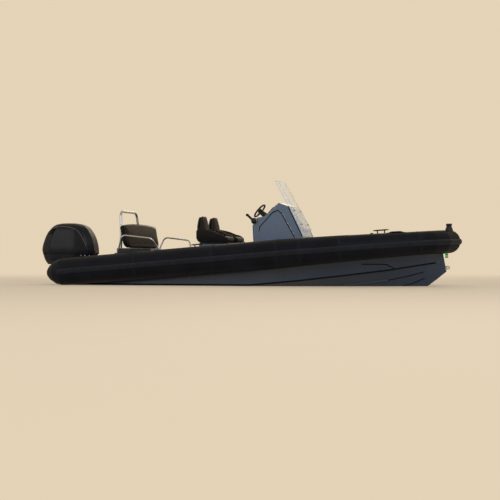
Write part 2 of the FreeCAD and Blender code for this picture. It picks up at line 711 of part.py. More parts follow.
def make_windscreen(console):
    """Makes the raked windscreen and the four fixings that hold it off the console's front."""
    low = (size("screen_low_x"), size("screen_low_z"), size("screen_low_half"), 3)
    high = (size("screen_top_x"), size("screen_top_z"), size("screen_top_half"), 3)
    screen = loft([screen_section(*low), screen_section(*high)])
    screen = largest(screen.cut(console))
    keep("windscreen", set_feature("windscreen", screen))
    nose, brow = point("console_nose"), point("console_brow")
    along = (brow - nose).normalize()
    out = Vector(along.z, 0, -along.x)
    fixings = []
    for share in (0.4, 0.86):
        for side in (-1, 1):
            start = nose + along * (share * (brow - nose).Length) + Vector(0, side * size("fixing_y"), 0)
            rod = cylinder(size("fixing_rad"), start + out * SEAT_GAP, start + out * 200)
            rod = rod.cut(screen)
            rod = min(rod.Solids, key=lambda solid: solid.CenterOfMass.distanceToPoint(start))
            fixings.append(rod)
    keep("windscreen_fixings", set_feature("windscreen_fixings", Part.makeCompound(fixings)))


def make_helm(console):
    """Makes the steering column on the console and the steering wheel that turns on it."""
    tilt = math.radians(size("wheel_tilt_deg"))
    out = Vector(-math.cos(tilt), 0, math.sin(tilt))
    centre = Vector(size("wheel_x"), size("wheel_y"), size("wheel_z"))
    hub_deep = size("hub_deep")
    root = centre - out * size("column_long")
    base_end = centre - out * (hub_deep / 2 + size("run_gap"))
    cone = Part.makeCone(size("column_base_rad"), size("column_base_rad") * 0.55,
                         (base_end - root).Length, root, out)
    column = cone.fuse(cylinder(size("column_rad"), base_end - out * 20, centre + out * (hub_deep / 2)))
    keep("steering_column", set_feature("steering_column", largest(column.cut(console))))
    hub = cylinder(size("wheel_hub_rad"), centre - out * (hub_deep / 2), centre + out * (hub_deep / 2))
    rim = Part.makeTorus(size("wheel_rad") - size("wheel_rim_rad"), size("wheel_rim_rad"), centre, out)
    across = out.cross(ALONG_Y)
    spokes = []
    for turn in (90, 210, 330):
        angle = math.radians(turn)
        way = ALONG_Y * math.cos(angle) + across * math.sin(angle)
        spokes.append(cylinder(9, centre + way * 20, centre + way * (size("wheel_rad") - 16)))
    wheel = hub.fuse([rim, *spokes])
    bore = cylinder(size("column_rad") + size("shaft_gap"), centre - out * 40, centre + out * 40)
    keep("steering_wheel", set_feature("steering_wheel", largest(wheel.cut(bore))))


def make_throttle():
    """Makes the throttle box on the console's starboard side, with its lever and grip."""
    centre = Vector(size("throttle_x"), -size("console_half") - SEAT_GAP, size("throttle_z"))
    deep = Vector(0, -size("throttle_deep"), 0)
    box = cylinder(size("throttle_rad"), centre, centre + deep)
    way = Vector(-0.74, 0, 0.67).normalize()
    lever_start = centre + deep * 0.8
    lever_end = lever_start + way * size("lever_long")
    lever = cylinder(11, lever_start, lever_end)
    grip = cylinder(19, lever_end + Vector(0, 38, 0), lever_end - Vector(0, 38, 0))
    keep("throttle", set_feature("throttle", box.fuse([lever, grip]).removeSplitter()))


# Seats

POD_OUTLINE = (("seat_aft_x + 60", "sole_z + seat_gap"), ("seat_fore_x - 110", "sole_z + seat_gap"),
               ("seat_fore_x - 50", "pod_top_z"),
               ("seat_aft_x + 70", "pod_top_z"))
SEAT_OUTLINE = (
    ("seat_aft_x + 85", "seat_low_z - 9.7"), ("seat_fore_x - 25", "seat_low_z - 9.7"),
    ("seat_fore_x", "seat_low_z + 60"), ("seat_fore_x", "cushion_top_z - 22"),
    ("seat_fore_x - 60", "cushion_top_z"), ("-365", "cushion_top_z + 8"), ("-460", "bolster_fore_z"),
    ("-660", "bolster_aft_z"), ("-780", "seat_back_z - 40"), ("-805", "seat_back_z"), ("-855", "seat_back_z"),
    ("seat_aft_x + 15", "seat_back_z - 90"), ("seat_aft_x", "1020"),
)
HOLLOW_OUTLINE = (("seat_fore_x + 20", "cushion_top_z - 45"), ("seat_fore_x + 20", "seat_back_z + 40"),
                  ("-775", "seat_back_z + 40"), ("-718", "960"), ("-645", "cushion_top_z - 45"))


def make_helm_seats():
    """Makes two side-by-side helm seats on their pods, with side bolsters."""
    pods = []
    for side, name in (("0 - seat_y", "starboard"), ("seat_y", "port")):
        pod, pad = prism(f"helm_pod_{name}", "XZ_Plane", POD_OUTLINE, "2 * pod_half",
                         ("0", side, "0"), symmetric=True)
        rounding = round_edges(pod, pad, "28", runs_along(Vector(0.0995, 0, 0.995)))
        pod.Tip = rounding if rounding.isValid() else pad
        pods.append(pod)
        seat, _ = prism(f"helm_seat_{name}", "XZ_Plane", SEAT_OUTLINE, "2 * seat_half",
                        ("0", side, "0"), symmetric=True)
        pocket(seat, "XZ_Plane", HOLLOW_OUTLINE, "2 * ( seat_half - bolster_wide )", symmetric=True)
        keep(f"helm_seat_{name}", seat)
    keep("helm_pods", group("helm_pods", pods))


def make_bench():
    """Makes the aft bench: its base with a bay, a hinged lid with its cushion, and the backrest."""
    outline = (("bench_aft_x", "sole_z + seat_gap"), ("bench_fore_x - 20", "sole_z + seat_gap"),
               ("bench_fore_x", "bench_seat_z"), ("bench_lid_aft_x - 10", "bench_seat_z"),
               ("bench_lid_aft_x - 10", "bench_shelf_z"), ("bench_aft_x", "bench_shelf_z"))
    base, _ = prism("bench_base", "XZ_Plane", outline, "2 * bench_half", symmetric=True)
    bay = (("bench_lid_aft_x + bench_wall", "sole_z + bench_wall"),
           ("bench_fore_x - 60", "sole_z + bench_wall"), ("bench_fore_x - 50", "bench_seat_z + 20"),
           ("bench_lid_aft_x + bench_wall", "bench_seat_z + 20"))
    pocket(base, "XZ_Plane", bay, "2 * ( bench_half - bench_wall )", symmetric=True)
    keep("bench_base", base)
    lid_low = "bench_seat_z + seat_gap"
    lid_high = "bench_seat_z + seat_gap + bench_lid_thick"
    lid_outline = (("bench_lid_aft_x", lid_low), ("bench_fore_x", lid_low),
                   ("bench_fore_x", lid_high), ("bench_lid_aft_x", lid_high))
    lid, _ = prism("bench_lid", "XZ_Plane", lid_outline, "2 * ( bench_half - 5 )", symmetric=True)
    keep("bench_lid", lid)
    pad_low = "bench_seat_z + 2 * seat_gap + bench_lid_thick"
    pad_high = "bench_seat_z + 2 * seat_gap + bench_pad_thick"
    pad_outline = (("bench_lid_aft_x", pad_low), ("bench_fore_x", pad_low),
                   ("bench_fore_x", pad_high), ("bench_lid_aft_x", pad_high))
    cushion, pad = prism("bench_cushion", "XZ_Plane", pad_outline, "2 * ( bench_half - 8 )",
                         symmetric=True)
    top = size("bench_seat_z") + size("bench_pad_thick")
    cushion.Tip = round_edges(cushion, pad, "30", lambda edge: edge.CenterOfMass.z > top - 1)
    keep("bench_cushion", cushion)
    back_outline = (("0 - back_half + back_round", "bench_shelf_z + seat_gap"),
                    ("back_half - back_round", "bench_shelf_z + seat_gap"),
                    ("back_half", "bench_shelf_z + seat_gap + back_round"), ("back_half", "back_top_z - 30"),
                    ("back_half - 60", "back_top_z"), ("0 - back_half + 60", "back_top_z"),
                    ("0 - back_half", "back_top_z - 30"), ("0 - back_half", "bench_shelf_z + seat_gap + back_round"))
    back = bench_back(back_outline)
    keep("bench_backrest", back)


def bench_back(outline):
    """Makes the leaning backrest, with its lower corners rounded, seated on the bench's shelf."""
    low_z = size("bench_shelf_z") + SEAT_GAP
    lean = (size("back_low_x") - size("back_top_x")) / (size("back_top_z") - low_z)

    def lay(across, height, back):
        shift = -lean * (height - low_z)
        return Vector(size("back_low_x") - back + shift, across, height)

    terms = [(value_of(sheet_terms(across)), value_of(sheet_terms(along))) for across, along in outline]
    front = [lay(across, height, 0) for across, height in terms]
    rear = [lay(across, height, size("back_thick")) for across, height in terms]
    return set_feature("bench_backrest", loft([polygon(front), polygon(rear)]))


# Rails

def make_ski_bow():
    """Makes the ski-tow bow behind the backrest, with its feet on the sole."""
    foot = Vector(size("ski_knee_x") - 12, -size("ski_foot_half"), size("sole_z") + SEAT_GAP)
    knee = Vector(size("ski_knee_x"), -size("ski_knee_half"), size("ski_knee_z"))
    right = [foot, knee, Vector(size("ski_x"), -size("ski_top_half"), size("ski_top_z") - size("ski_rad"))]
    left = [Vector(spot.x, -spot.y, spot.z) for spot in reversed(right)]
    tube = bent_tube([*right, *left], size("ski_bend"), size("ski_rad"))
    feet = [cylinder(size("ski_rad") * 1.9, spot, spot + Vector(0, 0, size("flange_thick")))
            for spot in (right[0], left[-1])]
    slab = Part.makeBox(2000, 4000, 3000, Vector(foot.x - 1000, -2000, foot.z))
    bow = tube.fuse(feet).removeSplitter().common(slab)
    keep("ski_bow", set_feature("ski_bow", largest(bow)))


def make_side_rails(liner, tube_room):
    """Makes the looped hand rail on each side of the bench, with its feet on the coaming."""
    # Rail corners: x, half-breadth, height
    corners = [(-2310, 934, coaming_top(-2310) - 2), (-2170, 1035, 933), (-1600, 960, 866),
               (-1490, 806, coaming_top(-1490) - 2)]
    points = [Vector(place_x, -half, height) for place_x, half, height in corners]
    tube = bent_tube(points, size("rail_bend"), size("rail_rad"))
    feet = [cylinder(size("rail_rad") * 1.6, spot, spot + Vector(0, 0, size("flange_thick")))
            for spot in (points[0], points[-1])]
    rail = tube.fuse(feet).removeSplitter()
    rail = max(rail.cut([liner, *tube_room]).Solids, key=lambda solid: solid.BoundBox.ZMax)
    keep("side_rail_starboard", set_feature("side_rail_starboard", rail))
    keep("side_rail_port", set_feature("side_rail_port", port_twin(rail)))


# Outboard engine

# Cowl levels: height, front, back, half-width
COWL_ROWS = (
    (600, -3190, -4330, 275), (675, -3195, -4345, 286), (800, -3215, -4322, 281), (940, -3262, -4262, 266),
    (1060, -3335, -4188, 240), (1130, -3405, -4122, 208), (1178, -3525, -4035, 165), (1196, -3610, -3955, 120),
)
PAN_ROWS = ((385, -3565, -4235, 175), (470, -3330, -4285, 245), (600, -3190, -4330, 275))
LEG_ROWS = ((385, -3562, -4000, 118), (230, -3566, -3960, 92), (0, -3590, -3900, 66), (-390, -3600, -3870, 52))
GEAR_ROWS = ((-400, -3560, -3960, 34), (-500, -3600, -3930, 24), (-580, -3600, -3950, 24))
SKEG_ROWS = ((-620, -3640, -3940, 10), (-760, -3720, -3960, 7), (-850, -3830, -3960, 5))


def level_outline(height, front, back, half):
    """Draws one level of the engine: blunt at the front, widest at a third, narrowing aft."""
    long = front - back
    # Outline rows: share of the length from the front, share of the half-width
    shares = ((0, 0.42), (0.1, 0.8), (0.3, 1), (0.78, 0.94), (0.95, 0.66), (1, 0.36))
    right = [Vector(front - share * long, -half * wide, height) for share, wide in shares]
    left = [Vector(spot.x, -spot.y, spot.z) for spot in reversed(right)]
    return polygon(right + left)


def engine_loft(rows):
    """Lofts levels of the engine, from a table of height, front, back and half-width."""
    return loft([level_outline(*row) for row in rows])


def make_clamp():
    """Makes the clamp bracket that hooks over the transom, with two ears and the tilt pin."""
    fore = size("hull_aft_x") - size("transom_thick") - SEAT_GAP
    jaw = size("hull_aft_x") + 15
    notch = size("engine_notch_z") + SEAT_GAP
    half = size("clamp_half")
    ear = size("clamp_ear")
    tilt = Vector(size("tilt_x"), 0, size("tilt_z"))
    shapes = []
    for side in (-1, 1):
        inner = half - ear
        low_y = inner if side > 0 else -half
        # Side plate outline: down the transom's aft face, over its top, with a jaw in front
        outline = ((fore, -40), (fore, notch), (jaw, notch), (jaw, notch - 46), (jaw + 30, notch - 46),
                   (jaw + 30, notch + 26), (size("tilt_x") + 20, notch + 60), (size("tilt_x") - 25, notch + 60),
                   (size("tilt_x") - 36, notch + 20), (fore - 30, -40))
        face = Part.Face(polygon([Vector(place_x, low_y, height) for place_x, height in outline]))
        plate = face.extrude(Vector(0, ear, 0))
        boss = Part.makeCylinder(40, ear, Vector(tilt.x, low_y, tilt.z), ALONG_Y)
        shapes += [plate, boss]
    web = Part.makeBox(12, 2 * half, 200, Vector(fore - 12, -half, -40))
    pin = Part.makeCylinder(size("tilt_pin_rad"), 2 * half, Vector(tilt.x, -half, tilt.z), ALONG_Y)
    clamp = web.fuse([pin, *shapes]).removeSplitter()
    keep("clamp_bracket", set_feature("clamp_bracket", largest(clamp)))


def make_swivel():
    """Makes the swivel bracket: two arms on the tilt pin and the steering post."""
    inner = size("clamp_half") - size("clamp_ear") - 6
    tilt_x, tilt_z = size("tilt_x"), size("tilt_z")
    steer_x = size("steer_x")
    low, high = size("swivel_low_z"), size("swivel_top_z")
    arm_low = tilt_z - 38
    knuckle = Part.makeCylinder(38, 2 * inner, Vector(tilt_x, -inner, tilt_z), ALONG_Y)
    arms = Part.makeBox(tilt_x - steer_x, 2 * inner, 76, Vector(steer_x, -inner, arm_low))
    post = Part.makeCylinder(size("swivel_post_rad"), high - low, Vector(steer_x, 0, low), ALONG_Z)
    rib = Part.makeBox(70, 60, arm_low - low - 60, Vector(steer_x, -30, low + 60))
    swivel = knuckle.fuse([arms, post, rib])
    pin_bore = Part.makeCylinder(size("tilt_pin_rad") + size("shaft_gap"), 2 * inner,
                                 Vector(tilt_x, -inner, tilt_z), ALONG_Y)
    post_bore = Part.makeCylinder(size("pilot_rad") + size("shaft_gap"), high - low,
                                  Vector(steer_x, 0, low), ALONG_Z)
    swivel = largest(swivel.cut([pin_bore, post_bore]).removeSplitter())
    keep("swivel_bracket", set_feature("swivel_bracket", swivel))


def make_engine():
    """Makes the outboard's cowl, pan, engine block, leg, gearcase and propeller."""
    pan = engine_loft(PAN_ROWS)
    keep("lower_cowl", set_feature("lower_cowl", pan))
    thick = size("cowl_thick")
    outer = engine_loft([(row[0] + (SEAT_GAP if row is COWL_ROWS[0] else 0), *row[1:]) for row in COWL_ROWS])
    inner = engine_loft([(row[0] - (thick if row is not COWL_ROWS[0] else 1), row[1] - thick,
                          row[2] + thick, row[3] - thick) for row in COWL_ROWS])
    keep("cowl", set_feature("cowl", largest(outer.cut(inner))))
    half = size("power_half")
    low = size("cowl_low_z") + SEAT_GAP
    block = Part.makeBox(560, 2 * half, 400, Vector(-4020, -half, low))
    keep("engine_block", set_feature("engine_block", block))
    make_leg()
    make_gearcase()
    make_propeller()


def make_leg():
    """Makes the exhaust leg with its yokes above and below the steering post."""
    steer_x = size("steer_x")
    high, low = size("swivel_top_z") + size("run_gap"), size("swivel_low_z") - size("run_gap")
    top = size("pan_low_z") - SEAT_GAP
    rows = [(top, *LEG_ROWS[0][1:]), *LEG_ROWS[1:-1], (size("plate_z"), *LEG_ROWS[-1][1:])]
    leg = engine_loft(rows)
    root_x = size("leg_root_x")
    upper = Part.makeBox(150, 110, top - high, Vector(root_x, -55, high))
    upper = upper.fuse(Part.makeCylinder(55, top - high, Vector(steer_x, 0, high), ALONG_Z))
    lower = Part.makeBox(150, 90, 50, Vector(root_x, -45, low - 50))
    lower = lower.fuse(Part.makeCylinder(45, 50, Vector(steer_x, 0, low - 50), ALONG_Z))
    pilot = Part.makeCylinder(size("pilot_rad"), top - low + 50, Vector(steer_x, 0, low - 50), ALONG_Z)
    keep("engine_leg", set_feature("engine_leg", leg.fuse([upper, lower, pilot]).removeSplitter()))


def make_gearcase():
    """Makes the gearcase: the plate above the propeller, its strut, the torpedo, the skeg and the shaft."""
    plate_z = size("plate_z")
    prop_z = size("prop_z")
    plate_outline = ((-3540, 40), (-3640, 88), (-3980, 125), (-4150, 108), (-4180, 40))
    edge = [Vector(place_x, -half, plate_z - 10) for place_x, half in plate_outline]
    edge += [Vector(spot.x, -spot.y, spot.z) for spot in reversed(edge)]
    plate = Part.Face(polygon(edge)).extrude(Vector(0, 0, 10 - SEAT_GAP))
    strut = engine_loft(GEAR_ROWS)
    nose, end = size("torpedo_nose_x"), size("prop_fore_x") + size("run_gap")
    radius = size("torpedo_rad")
    # Torpedo profile: place along X, share of the radius
    profile = ((nose, 0), (nose - 22, 0.45), (nose - 70, 0.8), (nose - 150, 1), (nose - 330, 1),
               (end, 0.84), (end, 0))
    face = Part.Face(polygon([Vector(place_x, 0, prop_z + share * radius) for place_x, share in profile]))
    torpedo = face.revolve(Vector(0, 0, prop_z), ALONG_X, 360)
    skeg = engine_loft([(size("skeg_low_z") if row is SKEG_ROWS[-1] else row[0], *row[1:])
                        for row in SKEG_ROWS])
    shaft_end = size("prop_fore_x") - size("prop_hub_long") - 10
    shaft = cylinder(size("prop_shaft_rad"), Vector(end + 20, 0, prop_z), Vector(shaft_end, 0, prop_z))
    case = strut.fuse([plate, torpedo, skeg, shaft]).removeSplitter()
    keep("gearcase", set_feature("gearcase", largest(case)))


def make_propeller():
    """Makes the three-bladed propeller on its hub, bored for the shaft."""
    fore, prop_z = size("prop_fore_x"), size("prop_z")
    long = size("prop_hub_long")
    radius = size("prop_hub_rad")
    hub = Part.makeCone(radius, radius * 0.86, long, Vector(fore, 0, prop_z), Vector(-1, 0, 0))
    blades = []
    # Blade sections: share of the reach, chord, pitch angle in degrees, thickness
    rows = ((0.2, 92, 62, 12), (0.55, 128, 47, 9), (0.85, 110, 36, 6), (1.0, 58, 32, 4))
    reach = size("prop_rad") - 2
    for number in range(3):
        wires = []
        for share, chord, pitch, thick in rows:
            angle = math.radians(pitch)
            along = Vector(-math.sin(angle), math.cos(angle), 0)
            across = Vector(math.cos(angle), math.sin(angle), 0)
            foot = Vector(0, 0, share * reach)
            corners = [foot - along * (chord / 2), foot + across * (thick / 2),
                       foot + along * (chord / 2), foot - across * (thick / 2)]
            wires.append(polygon(corners))
        blade = loft(wires)
        blade.rotate(Vector(0, 0, 0), ALONG_X, number * 120)
        blade.translate(Vector(fore - long * 0.5, 0, prop_z))
        blades.append(blade)
    bore = cylinder(size("prop_shaft_rad") + size("shaft_gap"), Vector(fore + 5, 0, prop_z),
                    Vector(fore - long - 5, 0, prop_z))
    keep("propeller", set_feature("propeller", largest(hub.fuse(blades).cut(bore))))


def check_and_write():
    """Checks every object and writes each node's shape to its own file."""
    doc.recompute()
    for item in doc.Objects:
        if "Invalid" in item.State or "Error" in item.State:
            raise ValueError(f"{item.Label} did not build: {item.State}")
    for node, item in outputs.items():
        shape = item.Shape
        if shape.isNull() or not shape.isValid() or not shape.Solids:
            raise ValueError(f"{node} has no valid solid")
    os.makedirs("parts", exist_ok=True)
    for node, item in sorted(outputs.items()):
        item.Shape.exportStep(f"parts/{node}.step")
        print(node, len(item.Shape.Solids), round(item.Shape.Volume / 1e6, 2))


def main():
    """Builds the boat from the collar inwards, then the engine."""
    make_collar()
    tube_room = collar_envelope()
    hull = make_hull(tube_room)
    liner = make_liner(tube_room)
    make_transom()
    make_bow_locker()
    make_bow_post(tube_room)
    make_cleats(liner, tube_room)
    make_eyes(hull)
    make_bow_lights(tube_room)
    console = make_console()
    make_dash(console)
    make_windscreen(console)
    make_helm(console)
    make_throttle()
    make_helm_seats()
    make_bench()
    make_ski_bow()
    make_side_rails(liner, tube_room)
    make_clamp()
    make_swivel()
    make_engine()
    check_and_write()


main()
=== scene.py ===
"""Rigid inflatable boat: finishes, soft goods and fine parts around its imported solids."""

import json
import logging
import math
from dataclasses import dataclass, field
from enum import Enum
from typing import Callable, Iterable, Sequence

import bmesh
import bpy
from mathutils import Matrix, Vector
from mathutils.bvhtree import BVHTree

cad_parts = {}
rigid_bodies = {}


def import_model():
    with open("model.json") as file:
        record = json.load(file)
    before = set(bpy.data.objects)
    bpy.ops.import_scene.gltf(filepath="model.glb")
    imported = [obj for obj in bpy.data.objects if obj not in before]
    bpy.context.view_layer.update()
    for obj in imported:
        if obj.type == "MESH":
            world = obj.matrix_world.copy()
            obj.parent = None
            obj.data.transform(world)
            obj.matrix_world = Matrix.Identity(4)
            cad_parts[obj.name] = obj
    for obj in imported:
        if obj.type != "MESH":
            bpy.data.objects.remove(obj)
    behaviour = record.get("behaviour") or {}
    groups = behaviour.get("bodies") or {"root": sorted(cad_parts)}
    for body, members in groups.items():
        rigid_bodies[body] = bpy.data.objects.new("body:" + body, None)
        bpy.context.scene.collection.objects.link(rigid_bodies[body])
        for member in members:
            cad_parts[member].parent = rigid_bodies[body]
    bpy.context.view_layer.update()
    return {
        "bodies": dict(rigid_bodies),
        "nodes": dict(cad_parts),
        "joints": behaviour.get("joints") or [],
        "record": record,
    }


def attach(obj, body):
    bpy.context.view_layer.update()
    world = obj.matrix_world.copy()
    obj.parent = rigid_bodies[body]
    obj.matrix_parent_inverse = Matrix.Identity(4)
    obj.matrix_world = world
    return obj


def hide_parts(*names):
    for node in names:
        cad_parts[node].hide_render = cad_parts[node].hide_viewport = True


log = logging.getLogger("boat")

Colour = tuple[float, float, float]
Hit = tuple[Vector, Vector]
Piece = bpy.types.Object
Rows = Sequence[Sequence[float]]
Shape = tuple[list[Vector], list[list[int]]]
Socket = bpy.types.NodeSocket

SIDES = (-1, 1)  # starboard and port
UP = Vector((0, 0, 1))
AFT = Vector((-1, 0, 0))
SUNK = -0.0005  # how far a fitting's foot goes into its face
SCREW_TURNS = (0.8, 2.37, 3.94, 5.5)


# Finishes


class Relief(Enum):
    """The kind of small surface relief that a finish carries."""

    SMOOTH = "smooth"
    GRAIN = "grain"
    WEAVE = "weave"
    STIPPLE = "stipple"
    BRUSHED = "brushed"
    ORANGE_PEEL = "orange_peel"
    NON_SKID = "non_skid"


class NodeDesk:
    """A node tree, with short ways to add and join its nodes."""

    def __init__(self, tree: bpy.types.NodeTree) -> None:
        """Takes up a node tree."""
        self.tree = tree

    def fill(self, node: bpy.types.Node, inputs: dict[str | int, object]) -> None:
        """Gives a node's inputs their values, or joins them to other nodes.

        Args:
            node: The node.
            inputs: A value or another node's socket for each input.
        """
        for key, value in inputs.items():
            if isinstance(value, Socket):
                self.tree.links.new(value, node.inputs[key])
            else:
                node.inputs[key].default_value = value

    def add(self, kind: str, inputs: dict[str | int, object], output: str | int = 0,
            **values: object) -> Socket:
        """Adds a node.

        Args:
            kind: The node's type.
            inputs: A value or another node's socket for each input.
            output: Which of its outputs is wanted.
            **values: Properties of the node by name.

        Returns:
            The socket of the output.
        """
        node = self.tree.nodes.new(f"ShaderNode{kind}")
        for key, value in values.items():
            setattr(node, key, value)
        self.fill(node, inputs)
        return node.outputs[output]

    def math(self, kind: str, first: Socket, second: Socket) -> Socket:
        """Adds a math node of a kind for two values."""
        return self.add("Math", {0: first, 1: second}, operation=kind)


class FinishDesk(NodeDesk):
    """A material's node tree around one Principled shader."""

    def __init__(self, name: str) -> None:
        """Starts the material.

        Args:
            name: The material's name.
        """
        self.material = bpy.data.materials.new(name)
        self.material.use_nodes = True
        super().__init__(self.material.node_tree)
        self.shader = self.tree.nodes["Principled BSDF"]
        self.place = self.add("TexCoord", {}, "Object")

    def stretched(self, scale: tuple[float, float, float]) -> Socket:
        """Gives the object's own coordinates, scaled along each axis."""
        return self.add("Mapping", {"Scale": scale, "Vector": self.place})

    def noise(self, scale: float, detail: float = 3, place: Socket | None = None) -> Socket:
        """Adds a noise of a scale, in waves a metre."""
        return self.add("TexNoise", {"Scale": scale, "Detail": detail, "Vector": place or self.place}, "Fac")

    def cells(self, scale: float, feature: str = "F1") -> Socket:
        """Adds a pattern of so many cells a metre."""
        return self.add("TexVoronoi", {"Scale": scale, "Vector": self.place}, "Distance", feature=feature)

    def bands(self, scale: float, axis: str) -> Socket:
        """Adds even bands across an axis."""
        return self.add("TexWave", {"Scale": scale, "Vector": self.place}, "Fac", bands_direction=axis)

    def span(self, value: Socket, low: float, high: float) -> Socket:
        """Maps a value from 0 to 1 onto a span."""
        return self.add("MapRange", {"To Min": low, "To Max": high, "Value": value}, "Result")

    def ramp(self, value: Socket, *stops: tuple[float, Colour]) -> Socket:
        """Turns a value into a colour between two stops.

        Args:
            value: The value's socket.
            *stops: The place and the colour of the first stop and of the last.

        Returns:
            The socket that holds the colour.
        """
        colour = self.add("ValToRGB", {"Fac": value}, "Color")
        for element, (place, shade) in zip(colour.node.color_ramp.elements, stops):
            element.position, element.color = place, (*shade, 1)
        return colour

    def upward(self, low: float, high: float) -> Socket:
        """Gives 1 where the normal's height is past a span, and 0 below it."""
        rise = self.add("SeparateXYZ", {"Vector": self.add("NewGeometry", {}, "Normal")}, "Z")
        return self.add("MapRange", {"From Min": low, "From Max": high, "Value": rise}, "Result", clamp=True)

    def bump(self, height: Socket, depth: float, strength: float) -> None:
        """Adds relief to the shader's normal, on top of any before it.

        Args:
            height: The socket that holds the height from 0 to 1.
            depth: How deep it is in metres.
            strength: How much of it shows.
        """
        inputs = {"Distance": depth, "Strength": strength, "Height": height}
        before = self.shader.inputs["Normal"]
        if before.links:
            inputs["Normal"] = before.links[0].from_socket
        self.fill(self.shader, {"Normal": self.add("Bump", inputs, "Normal")})


@dataclass(frozen=True)
class Finish:
    """One finish of the boat: its colours, gloss and small relief.

    Attributes:
        name: The finish's name: its material slot, where it has one.
        colour: Its main colour.
        second: The colour that it drifts to in patches.
        rough: The least and the most roughness.
        metal: Whether it is bare metal, from 0 to 1.
        coat: How much clear coat lies on it.
        shine: How strongly its bare surface mirrors, from 0 to 1.
        relief: Its kind of small relief.
        patch: Patches a metre of the second colour.
        glow: How strongly it lights up.
        clear: How much light goes through it.
    """

    name: str
    colour: Colour
    second: Colour
    rough: tuple[float, float] = (0.4, 0.5)
    metal: float = 0
    coat: float = 0
    shine: float = 0.5
    relief: Relief = Relief.SMOOTH
    patch: float = 6
    glow: float = 0
    clear: float = 0

    def material(self) -> bpy.types.Material:
        """Returns the finish's material, made at its first use."""
        return bpy.data.materials.get(f"{self.name}_finish") or self._make()

    def _make(self) -> bpy.types.Material:
        """Makes the finish's material.

        Returns:
            The material.
        """
        desk = FinishDesk(f"{self.name}_finish")
        inputs = {"Base Color": desk.ramp(desk.noise(self.patch, 4), (0.35, self.colour), (0.7, self.second)),
                  "Roughness": desk.span(desk.noise(self.patch * 3, 5), *self.rough), "Metallic": self.metal,
                  "Coat Weight": self.coat, "Coat Roughness": 0.12, "Specular IOR Level": self.shine,
                  "Transmission Weight": self.clear}
        if self.clear:
            inputs["IOR"] = 1.49
        if self.glow:
            inputs |= {"Emission Color": (*self.colour, 1), "Emission Strength": self.glow}
        desk.fill(desk.shader, inputs)
        self._carve(desk)
        return desk.material

    def _carve(self, desk: FinishDesk) -> None:
        """Adds the finish's small relief.

        Args:
            desk: The material's node desk.
        """
        if self.relief is Relief.GRAIN:
            desk.bump(desk.cells(420, "DISTANCE_TO_EDGE"), 0.0005, 0.6)
            desk.bump(desk.noise(38, 4), 0.002, 0.35)
        elif self.relief is Relief.WEAVE:
            desk.bump(desk.math("MULTIPLY", desk.bands(260, "X"), desk.bands(260, "DIAGONAL")), 0.0003, 0.5)
            desk.bump(desk.noise(5), 0.006, 0.25)
        elif self.relief is Relief.STIPPLE:
            desk.bump(desk.cells(640), 0.0004, 0.5)
        elif self.relief is Relief.BRUSHED:
            desk.bump(desk.noise(30, 5, desk.stretched((1, 1, 22))), 0.0002, 0.35)
        elif self.relief is Relief.ORANGE_PEEL:
            desk.bump(desk.noise(240, 2), 0.0002, 0.3)
        elif self.relief is Relief.NON_SKID:
            desk.bump(desk.math("MULTIPLY", desk.cells(170), desk.upward(0.9, 0.96)), 0.0016, 0.9)
            desk.bump(desk.noise(120, 2), 0.0002, 0.25)


